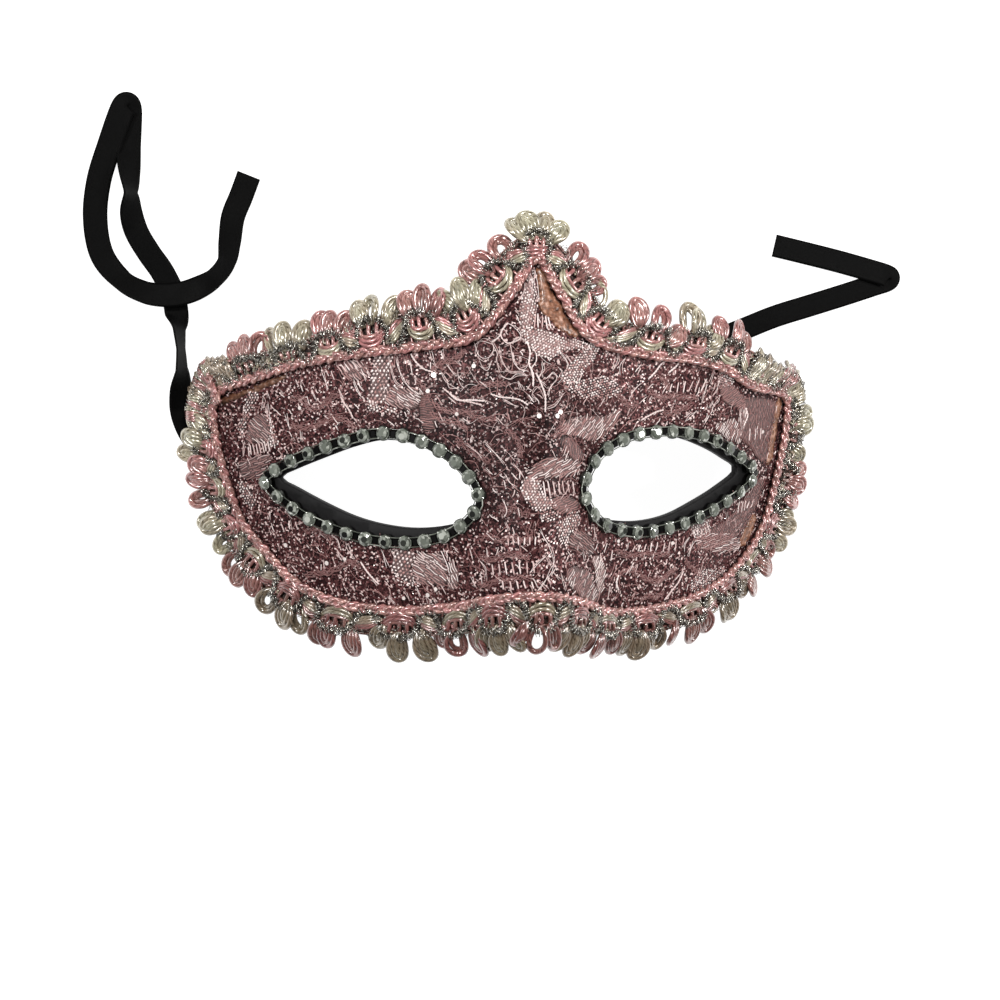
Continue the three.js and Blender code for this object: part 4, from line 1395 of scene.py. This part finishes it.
def make_flakes(look):
    """Flakes of glitter, thin six sided plates, and the few large ones painted white as sparkles."""
    chance = random.Random(SEED + 5)
    bpy.ops.object.select_all(action="DESELECT")
    bpy.ops.mesh.primitive_cylinder_add(vertices=6, radius=0.5, depth=0.05)
    flake = take_pattern()
    pile = Pile()
    spots = [(plan, chance.uniform(*FLAKE_SIZES)) for plan in field_places(FLAKES, chance, 0.6)]
    spots += [(plan, chance.uniform(*SPARKLE_SIZES)) for plan in seen_at(SPARKLES)]
    for plan, size in spots:
        large = size > 1
        tilt = 0.12 if large else 0.4
        up = unit(face_up(plan) + [chance.gauss(0, tilt), chance.gauss(0, tilt), 0])
        along = heading(chance.uniform(0, math.pi), 0.1)
        # Painted glints: the large flakes and a share of the small ones are near white.
        tone = 1.0 if large or chance.random() < BRIGHT_FLAKES else chance.uniform(0, 0.45)
        set_down(pile, flake, on_cover(plan, 0.22 if large else 0.1), along, up, tone, size)
    pile.piece("glitter_flakes", look, *LACE, False)


def make_glue(look):
    chance = random.Random(SEED + 8)
    pile = Pile()
    for lightness, pixels in GLUE_PATCHES:
        outline = patch_outline(pixels)
        outline = outline + strewn(chance, len(outline), 0.16)
        swell(pile, outline, 0.7, COVER_RISE - 0.05, 0.3, 1.2, lightness)
    pile.piece("dried_glue", look, *LACE)


# The braid.

def in_corner(station):
    """Whether a station lies in one of the braid's outer corners."""
    return any(start <= station <= end for start, end in CORNERS)


def lower_edge_shade(index, most):
    """The painted shade at a rib: the trim is painted darker along the lower edge, by a share up to most.
    """
    return 1 - most * min(max((-RIBS[index][3] - 14) / 18, 0), 1)


def plait(pile, line, turns, closed):
    """Three cords plaited along a line, thick and thin by turns, as a crochet chain is."""
    for strand in range(3):
        phase = 2 * math.pi * strand / 3
        path = wound(line, 0.8, turns, 18, phase, 0.45, 2, closed)
        lumps = 0.68 + 0.13 * np.sin(np.arange(len(path)) * 2 * math.pi * 3 * turns / len(path) + phase)
        cord(pile, path, lumps, 8, 0.04 + 0.08 * strand, 0.9, closed=closed)


def make_chain(look):
    """The crochet chain at the braid's inner edge, and its end that crosses the braid."""
    pile = Pile()
    line = braid_line(np.arange(0, len(RIBS), 0.05), CHAIN_SHARE, CHAIN_RISE)
    plait(pile, line, round(line_length(line) / CHAIN_PITCH), True)
    end = on_face(open_line(seen_at(JOIN_CHAIN, JOIN_RISE), 30), JOIN_RISE)
    plait(pile, end, line_length(end) / CHAIN_PITCH, False)
    pile.piece("braid_chain", look, *BRAID)


def make_band(look):
    """The ground of the braid, under its cords: dark for the black board beneath, and painted shade in the
    hollows between them.
    """
    stations = np.arange(0, len(RIBS), 0.1)
    rows = [braid_line(stations, share, GROUND_TOP) for share in GROUND_SHARES]
    rows += [braid_line(stations, share, GROUND_FOOT) for share in GROUND_SHARES[::-1]]
    faces, uvs = lattice(len(rows), len(stations), 0.8 * np.arange(len(rows) + 1),
                         0.8 * np.arange(len(stations) + 1), True)
    pile = Pile()
    pile.add(np.vstack(rows), faces.tolist(), uvs)
    pile.piece("braid_ground", look, *BRAID)


def make_scallops(look):
    """The satin crescents of the braid, the fingers over each, and the leaves between."""
    chance = random.Random(SEED + 1)
    arcs, ribs, leaves = Pile(), Pile(), Pile()
    angles = np.linspace(0, math.pi, 19)
    bow = np.sin(angles)
    swelling = np.sin(np.linspace(0.15, 0.95, 9) * math.pi)
    reach = np.linspace(-1, 1, 13)
    bulge = np.cos(reach * math.pi / 2)
    for index in range(len(RIBS)):
        middle = index + chance.uniform(-0.04, 0.04)
        size = chance.uniform(0.88, 1.1)
        drop = chance.uniform(-0.04, 0.04)
        # The cords here carry painted shade, darker along the lower edge.
        corner, edge_shade = in_corner(index), lower_edge_shade(index, 0.5)
        for nest in range(0 if corner else 3):
            stations = middle - SCALLOP_HALF * size * (1 - 0.1 * nest) * np.cos(angles)
            shares = 0.74 + drop - (SCALLOP_DEPTH - 0.13 * nest) * bow ** 0.8
            line = braid_line(stations, shares, 2.0 + (0.75 - 0.2 * abs(nest - 1)) * bow)
            tone = 0.1 if nest == 2 else PINK if index % 2 == 0 else CREAM
            cord(arcs, line, 0.58 * (0.35 + 0.65 * bow ** 0.7), 8, tone + chance.uniform(-0.06, 0.06),
                 0.85, edge_shade)
        for place in (-0.5, -0.02, 0.46):
            station = middle + (place + chance.uniform(-0.08, 0.08)) * SCALLOP_HALF * size
            splayed = np.linspace(station, middle + 1.25 * (station - middle), 9)
            line = braid_line(splayed, np.linspace(0.42 + drop, 0.97, 9), 1.9 + 0.7 * swelling)
            cord(ribs, line, 0.36 + 0.22 * swelling, 7, 0.1 + chance.uniform(-0.1, 0.15), 0.9, edge_shade)
        for place in np.arange(-0.48, 0.5, 0.12):
            station = index + place + chance.uniform(-0.03, 0.03)
            line = braid_line(station, np.linspace(0.12, 0.32 + 0.3 * abs(place), 5), 1.95)
            cord(ribs, line, 0.34, 6, 0.05 + chance.uniform(-0.05, 0.15), 0.9, edge_shade)
        for share in (0.88, 1.0):
            stations = np.linspace(index - 0.5, index + 0.5, 14)
            line = braid_line(stations, share, 1.9 + 0.2 * np.cos(stations * 2 * math.pi))
            cord(ribs, line, 0.4, 6, 0.2, 0.9, edge_shade)
        tilt = (0.2 if index % 2 == 0 else -0.2) + chance.uniform(-0.1, 0.1)
        for strand in range(0 if corner else 5):
            off = (strand - 2) / 2
            stations = index + 0.5 + LEAF_HALF * chance.uniform(0.8, 1.1) * reach
            shares = 0.56 + tilt * reach + 0.2 * off * bulge ** 0.8
            line = braid_line(stations, shares, 2.2 + 0.6 * bulge - 0.15 * abs(off))
            cord(leaves, line, 0.28 + 0.2 * bulge, 7,
                 (0.85 if strand < 3 else 0.12) + chance.uniform(-0.15, 0.1), 0.9, edge_shade)
    arcs.piece("braid_scallops", look, *BRAID)
    ribs.piece("braid_ribs", look, *BRAID)
    leaves.piece("braid_leaves", look, *BRAID)


def curl(pile, chance, station, share, rise, size, radius, sides, tone):
    """A short curl of cord or wire that stands up out of the braid."""
    middle = braid_line(station, share, rise)
    up = face_up(middle)
    first = unit(np.cross(up, heading(chance.uniform(0, math.pi))))
    second = np.cross(up, first) * chance.uniform(0.3, 1.0) + up * chance.uniform(-0.6, 0.9)
    angles = np.linspace(0, chance.uniform(3.0, 5.4), 8)[:, None]
    line = middle + size * (np.cos(angles) * first + np.sin(angles) * second)
    line[:, 2] = np.maximum(line[:, 2], radius + 0.1)
    cord(pile, line, radius, sides, tone, up=up)


def fold_corners(pile, chance):
    """Hairpins of cord, side by side, where the braid is folded flat beyond its edge."""
    for start, end, outer in FLAPS:
        for place in np.arange(start, end, 0.13):
            out = np.linspace(0.12, outer + chance.uniform(-0.2, 0.0), 12)
            shares = np.concatenate([out, [out[-1] + 0.08], out[::-1]])
            across = np.repeat([0.0, 0.045, 0.09], (12, 1, 12))
            waver = 0.02 * np.sin(shares * 7 + chance.uniform(0, 6))
            stations = place + across * (1 - 0.3 * shares) + waver
            crest, fall = np.clip((shares - 0.4) / 0.4, 0, 1), np.clip((shares - 1) / 0.4, 0, 1)
            rises = 2.1 + 1.5 * crest - 2.4 * fall + 0.3 * np.sin(shares * 6 + chance.uniform(0, 6))
            line = braid_line(stations, shares, rises)
            line[:, 2] = np.maximum(line[:, 2], 0.75)
            # The hairpins carry a painted shade of 0.8, a little darker.
            cord(pile, line, 0.62, 6, chance.choice((0.9, 0.75, 0.95, 0.1)), 0.9, 0.8)


def make_tangle(satin, wire):
    """The small knots of cord at the loops' roots, and the stray curls of silver wire."""
    chance = random.Random(SEED + 9)
    knots, strays = Pile(), Pile()
    glint = knot_pattern()
    for index in range(len(RIBS)):
        corner = in_corner(index)
        tones = (0.9, 1.0, 0.7, 0.2) if corner else (0.05, 0.1, 0.15, 0.8)
        for _ in range(30 if corner else 9):
            curl(knots, chance, index + chance.uniform(-0.5, 0.5),
                 chance.uniform(0.3 if corner else 0.7, 1.02), 2.2, chance.uniform(0.5, 0.9), 0.34, 6,
                 chance.choice(tones))
        outer = 1.1 if index == FOLDED_RIB else 1.04
        count = 70 if corner else 36
        for _ in range(count):
            station = index + chance.uniform(-0.5, 0.5)
            share = chance.choice((chance.uniform(0.15, outer), chance.gauss(outer - 0.1, 0.06)))
            rise = 2.5 + 0.5 * (share > 0.8) + (1.0 if corner and chance.random() < 0.6 else 0)
            curl(strays, chance, station, min(share, outer), rise, chance.uniform(0.35, 0.9), 0.1, 3, 0.5)
        for _ in range(count // 3):
            place = braid_line(index + chance.uniform(-0.5, 0.5), chance.uniform(0.15, outer),
                               chance.uniform(2.6, 3.3))
            up = unit(np.array([chance.gauss(0, 0.5), chance.gauss(0, 0.5), 1.0]))
            set_down(strays, glint, place, [chance.uniform(-1, 1), 0.4, 0.0], up, 1.0,
                     chance.uniform(0.5, 1.1))
    fold_corners(knots, chance)
    knots.piece("braid_knots", satin, *BRAID)
    strays.piece("braid_stray_wire", wire, *BRAID)


def make_purl(look):
    """The silver wire that winds in and out between the scallops and over the loops' roots."""
    chance = random.Random(SEED + 2)
    meander = np.array([(index + station, share) for index in range(len(RIBS))
                        for station, share in PURL_MEANDER])
    ring = np.vstack([meander, meander[:2] + [len(RIBS), 0]])
    steps = np.arange(0, len(meander), 0.1)
    places = np.stack([np.interp(steps, np.arange(len(ring)), values) for values in ring.T], 1)
    soft = sum(np.roll(places, k, 0) for k in range(-4, 5)) / 9
    soft[:5], soft[-5:] = places[:5], places[-5:]
    stations, shares = soft.T
    line = braid_line(stations, shares, 2.5 + 0.75 * np.clip(shares - 0.7, 0, 1) / 0.3)
    for name, (radius, pitch, sides, wire) in WINDINGS.items():
        pile = Pile()
        path = wound(line, radius, line_length(line) / pitch, 7, flat=0.75, closed=True)
        shaken = path + strewn(chance, len(path), 0.14, 3)
        cord(pile, shaken, wire, sides, up=face_up(path), closed=True)
        pile.piece("braid_purl_" + name, look, *BRAID)


def cluster_frame(index):
    """The root of a cluster of loops and its outward, sideways and upward directions."""
    inner, outer = np.array(RIBS[index][:2], float), np.array(RIBS[index][2:], float)
    outwards = unit(outer - inner)
    spread = LOOP_SHARE * np.linalg.norm(outer_line(index + 0.5) - outer_line(index - 0.5))
    root = np.array([*outer, face_height(*outer) + LOOP_ROOT_RISE])
    tip_plan = outer + outwards * LOOP_REACH
    face = float(face_height(*tip_plan))
    droop = LOOP_DROOP * min(max(1 - face / LOOP_DROOP_START, 0), 1)
    tip = np.array([*tip_plan, max(face - droop, -LOOP_SQUASH, root[2] - LOOP_FALL * LOOP_REACH)])
    sideways = np.array([-outwards[1], outwards[0], 0.0])
    left, right = root + sideways * spread, root - sideways * spread
    sideways[2] = (face_height(*left[:2]) - face_height(*right[:2])) / (2 * spread)
    sideways = unit(sideways)
    along = tip - root
    along = unit(along - sideways * (along @ sideways))
    return root, along, sideways, np.cross(along, sideways), spread


def make_loops(look):
    """The loops of the fringe: full drops of nested satin cords, three for each rib, four at the crest and
    none where the braid is folded flat.
    """
    chance = random.Random(SEED)
    pile = Pile()
    turn = np.linspace(0, 2 * math.pi, 29)
    rise = (1 - np.cos(turn)) / 2
    drop = np.sin(turn) * np.abs(np.sin(turn / 2)) ** 0.3 / 0.91
    for index in range(len(RIBS)):
        if any(start <= index <= end for start, end, _ in FLAPS):
            continue
        root, along, sideways, upwards, spread = cluster_frame(index)
        crest = index == 0
        fan = CREST_FAN if crest else LOOP_FAN
        back = spread / fan
        for side in CREST_LOOPS if crest else (-1, 0, 1):
            reach = LOOP_REACH + chance.uniform(-1.0, 0.5)
            half = (3.4 if crest else min(max(spread * 0.9, 2.8), 3.3)) * chance.uniform(0.86, 1.1)
            lean = side * fan + chance.uniform(-0.13, 0.13)
            lift = chance.uniform(-0.3, 0.4) + (0.7 if side == 0 else 0)
            roll = chance.uniform(-0.5, 0.5)
            nests, crown = chance.choice(LOOP_NESTS)
            nests = 1 if chance.random() < SINGLE_LOOPS else nests
            tone = (0.9 if index % 2 == 0 else 0.08) + chance.uniform(-0.08, 0.08)
            for nest in range(nests):
                radius = (LOOP_RADIUS - 0.06 * nest) * (0.6 + 0.4 * rise ** 0.5)
                aside = max(half - LOOP_RADIUS - 1.1 * nest, 0.12) * drop
                height = lift + 0.8 * np.sin(rise * math.pi) + crown * nest * rise + aside * math.sin(roll)
                aside = aside * math.cos(roll)
                radial = back - 1.3 + (reach + 0.45 - 1.2 * nest) * rise
                x = radial * math.cos(lean) - aside * math.sin(lean) - back
                y = radial * math.sin(lean) + aside * math.cos(lean)
                line = root + np.outer(x, along) + np.outer(y, sideways) + np.outer(height, upwards)
                line[:, 2] = np.maximum(line[:, 2], 0.82)
                # Painted shade: the loops darker towards their roots, the inner cords of a hollow loop
                # darker still, and all darker along the lower edge.
                shade = lower_edge_shade(index, 0.6) * (0.4 + 0.6 * rise ** 0.6)
                shade = shade * (0.7 if nest and crown < 0 else 1)
                cord(pile, line, radius, 8, tone + 0.04 * nest, 0.9, shade, upwards)
    pile.piece("braid_loops", look, *BRAID)


# The stones round the eyes.

def stone_pattern():
    """One cut stone, its girdle at the origin: rings of facets up to its table."""
    bpy.ops.object.select_all(action="DESELECT")
    bpy.ops.mesh.primitive_cylinder_add(vertices=10, radius=STONE_RADIUS, depth=0.24)
    stone = bpy.context.object
    for sign, height, size, turn in ((1, 0.5, 0.78, 18), (1, 0.4, 0.56, 18), (-1, 0.7, 0.2, 0)):
        for face in stone.data.polygons:
            face.select = face.normal.z * sign > 0.9
        with editing(False):
            bpy.ops.mesh.select_mode(type="FACE")
            bpy.ops.mesh.extrude_region_move(TRANSFORM_OT_translate={"value": (0, 0, sign * height)})
            bpy.ops.transform.resize(value=(size, size, 1))
            bpy.ops.transform.rotate(value=math.radians(turn), orient_axis="Z", center_override=(0, 0, 0))
            bpy.ops.mesh.select_all(action="DESELECT")
    # An extrude may leave the facets in any order, and each one's tone goes by its number.
    points, faces = take_pattern()
    return points, sorted(faces, key=lambda face: tuple(points[face].mean(0).round(5)))


def cup_pattern():
    """The open metal cup that holds a stone."""
    bpy.ops.object.select_all(action="DESELECT")
    bpy.ops.mesh.primitive_cylinder_add(vertices=14, radius=CUP_RADIUS, depth=0.9, location=(0, 0, -0.42))
    bpy.ops.object.transform_apply(location=True)
    for face in bpy.context.object.data.polygons:
        face.select = face.normal.z > 0.9
    with editing(False):
        bpy.ops.mesh.select_mode(type="FACE")
        bpy.ops.mesh.inset(thickness=0.18)
        bpy.ops.transform.translate(value=(0, 0, -0.3))
    return take_pattern()


def claw_pattern():
    bpy.ops.object.select_all(action="DESELECT")
    bpy.ops.mesh.primitive_ico_sphere_add(subdivisions=1, radius=1.0)
    return take_pattern()


def link_pattern():
    """The dark block between two cups, with softened edges."""
    bpy.ops.object.select_all(action="DESELECT")
    bpy.ops.mesh.primitive_cube_add(size=1)
    with editing():
        bpy.ops.transform.resize(value=(1.6, 1.9, 0.9))
        bpy.ops.mesh.bevel(offset=0.22, segments=1)
    return take_pattern()


def make_stones(glass, metal, clear):
    chance = random.Random(SEED + 6)
    stone, cup, claw, link = stone_pattern(), cup_pattern(), claw_pattern(), link_pattern()
    middles = np.array([stone[0][face].mean(0) for face in stone[1]])
    table = (np.linalg.norm(middles[:, :2], axis=1) < 0.1) & (middles[:, 2] > 0.5)
    for name, points in (("left", STONES_LEFT), ("right", STONES_RIGHT)):
        line = on_face(eye_outline(points, 2 * STONE_COUNT), STONE_RISE)
        along = directions(line, True)
        up = face_up(line)
        side = np.cross(up, along)
        stones, cups, rails = Pile("FACE"), Pile(), Pile()
        for k in range(0, len(line), 2):
            tilt = unit(up[k] + along[k] * chance.gauss(0, 0.11) + side[k] * chance.gauss(0, 0.11))
            # Painted reflections: a tone for each facet, one of them a painted glint, and one for the
            # table.
            tone = np.array([chance.choice(PAINTED_FACET_TONES) for _ in middles])
            tone[chance.randrange(len(tone))] = 1.0
            tone = np.where(table, chance.choice(PAINTED_TABLE_TONES), tone)
            set_down(stones, stone, line[k], along[k], tilt, tone)
            set_down(cups, cup, line[k], along[k], tilt)
            # The claws are silver, painted near white for their glints too.
            for turn in (45, 135, 225, 315):
                angle = math.radians(turn + chance.uniform(-6, 6))
                reach = CLAW_REACH * (math.cos(angle) * along[k] + math.sin(angle) * side[k])
                set_down(cups, claw, line[k] + reach + tilt * 0.12, along[k], tilt, 1.0, CLAW_SIZE)
            set_down(cups, link, line[k + 1] - up[k + 1] * 0.5, along[k + 1], up[k + 1], 0.0)
        for hand in (-1, 1):
            # Painted glints: the clear rails' brightness changes at random along them.
            tones = np.repeat([chance.uniform(0.0, 1.0) for _ in line], 6)
            rail = line + side * RAIL_REACH * hand - up * 0.1
            cord(rails, rail, RAIL_RADIUS, 6, tones, up=up, closed=True)
        stones.piece("stones_" + name, glass, "stone_trim_" + name, "stones", False)
        cups.piece("stone_cups_" + name, metal, "stone_trim_" + name, "stones", False)
        rails.piece("stone_rails_" + name, clear, "stone_trim_" + name, "stones")


# The ribbon ties.

def ribbon_frames(route, count):
    """Each step of a ribbon: its place, the way across it and the way off its face."""
    route = np.array(route, float)
    line = open_line(route[:, :3], count)
    steps = np.linspace(0, 1, count) * (len(route) - 1)
    turns = np.radians(np.interp(steps, np.arange(len(route)), route[:, 3]))
    widths, normals = [], []
    flat = None
    for place, ahead, turn in zip(line, directions(line), turns):
        level = np.cross([0, 0, 1], ahead)
        if flat is None or np.linalg.norm(level) > 0.3:
            level = unit(level)
            flat = -level if flat is not None and flat @ level < 0 else level
        width = flat * math.cos(turn) + np.cross(ahead, flat) * math.sin(turn)
        normal = unit(np.cross(ahead, width))
        drop = abs(width[2]) * RIBBON_WIDTH / 2 + abs(normal[2]) * RIBBON_SOLID_THICKNESS / 2
        place[2] = max(place[2], drop + RIBBON_CLEARANCE)
        widths.append(width)
        normals.append(normal)
    return line, np.array(widths), np.array(normals)


def make_ribbon(name, route, cad_node, count, look):
    """A flat ribbon, thicker at its two woven edges."""
    line, widths, normals = ribbon_frames(route, count)
    across = np.linspace(-1, 1, 9)
    thick = RIBBON_THICKNESS / 2 * np.where(np.abs(across) > 0.8, 1.0, 0.6)
    rim = [*zip(across, thick), *zip(across[::-1], -thick[::-1])]
    rows = np.stack([line + widths * (RIBBON_WIDTH / 2 * a) + normals * t for a, t in rim], 1)
    place = RIBBON_WIDTH / 2 * np.array([a for a, _ in rim + rim[:1]])
    faces, uvs = lattice(count, len(rim), distances(line), place, False)
    ends = np.arange(count * len(rim)).reshape(count, -1)[[0, -1]]
    outwards = [1, 0, 3, 2]
    faces = faces[:, outwards].tolist() + [ends[0].tolist(), ends[1][::-1].tolist()]
    uvs = np.vstack([uvs[:, outwards].reshape(-1, 2), np.zeros((ends.size, 2))])
    pile = Pile()
    pile.add(rows.reshape(-1, 3), faces, uvs)
    ribbon = pile.piece(name, look, cad_node, "ribbon")


make_stage()
make_camera()
ribbon_look = ribbon_material()
make_ribbon("ribbon_left", ROUTE_LEFT, "tie_left", 420, ribbon_look)
make_ribbon("ribbon_right", ROUTE_RIGHT, "tie_right", 400, ribbon_look)
make_shell("base_board", BRAID_OVERHANG, (EYE_LEFT, EYE_RIGHT), BASE_THICKNESS, BASE_BEVEL, BASE_GRID,
           0, board_material(), "mask_base", "base")
cover = make_shell("glitter_cover", LACE_INSET, (STONES_LEFT, STONES_RIGHT), COVER_THICKNESS,
                   COVER_BEVEL, COVER_GRID, COVER_RISE, glitter_material(), *LACE)
fibres = thread_group()
satin, thread, silver = satin_material(fibres), lace_material(fibres), wire_material()
make_lace(thread, gauze_material())
make_net(thread)
make_flakes(toned_material("glitter flake", (34, 18, 20), (112, 76, 74), (255, 242, 238), 0.2, 0.2))
make_glue(glue_material())
make_chain(satin)
make_band(ground_and_shade_material())
make_scallops(satin)
make_purl(silver)
make_tangle(satin, silver)
make_loops(satin)
make_stones(toned_material("cut glass", (6, 7, 6), (112, 117, 108), (214, 217, 208), 0.08,
                           IOR=1.55, Coat_Weight=0.4),
            toned_material("setting metal", (16, 15, 15), (70, 72, 68), (225, 228, 220), 0.25, 0.7),
            toned_material("rail glass", (48, 52, 46), (104, 108, 98), (190, 194, 184), 0.12,
                           IOR=1.5, Coat_Weight=0.4))
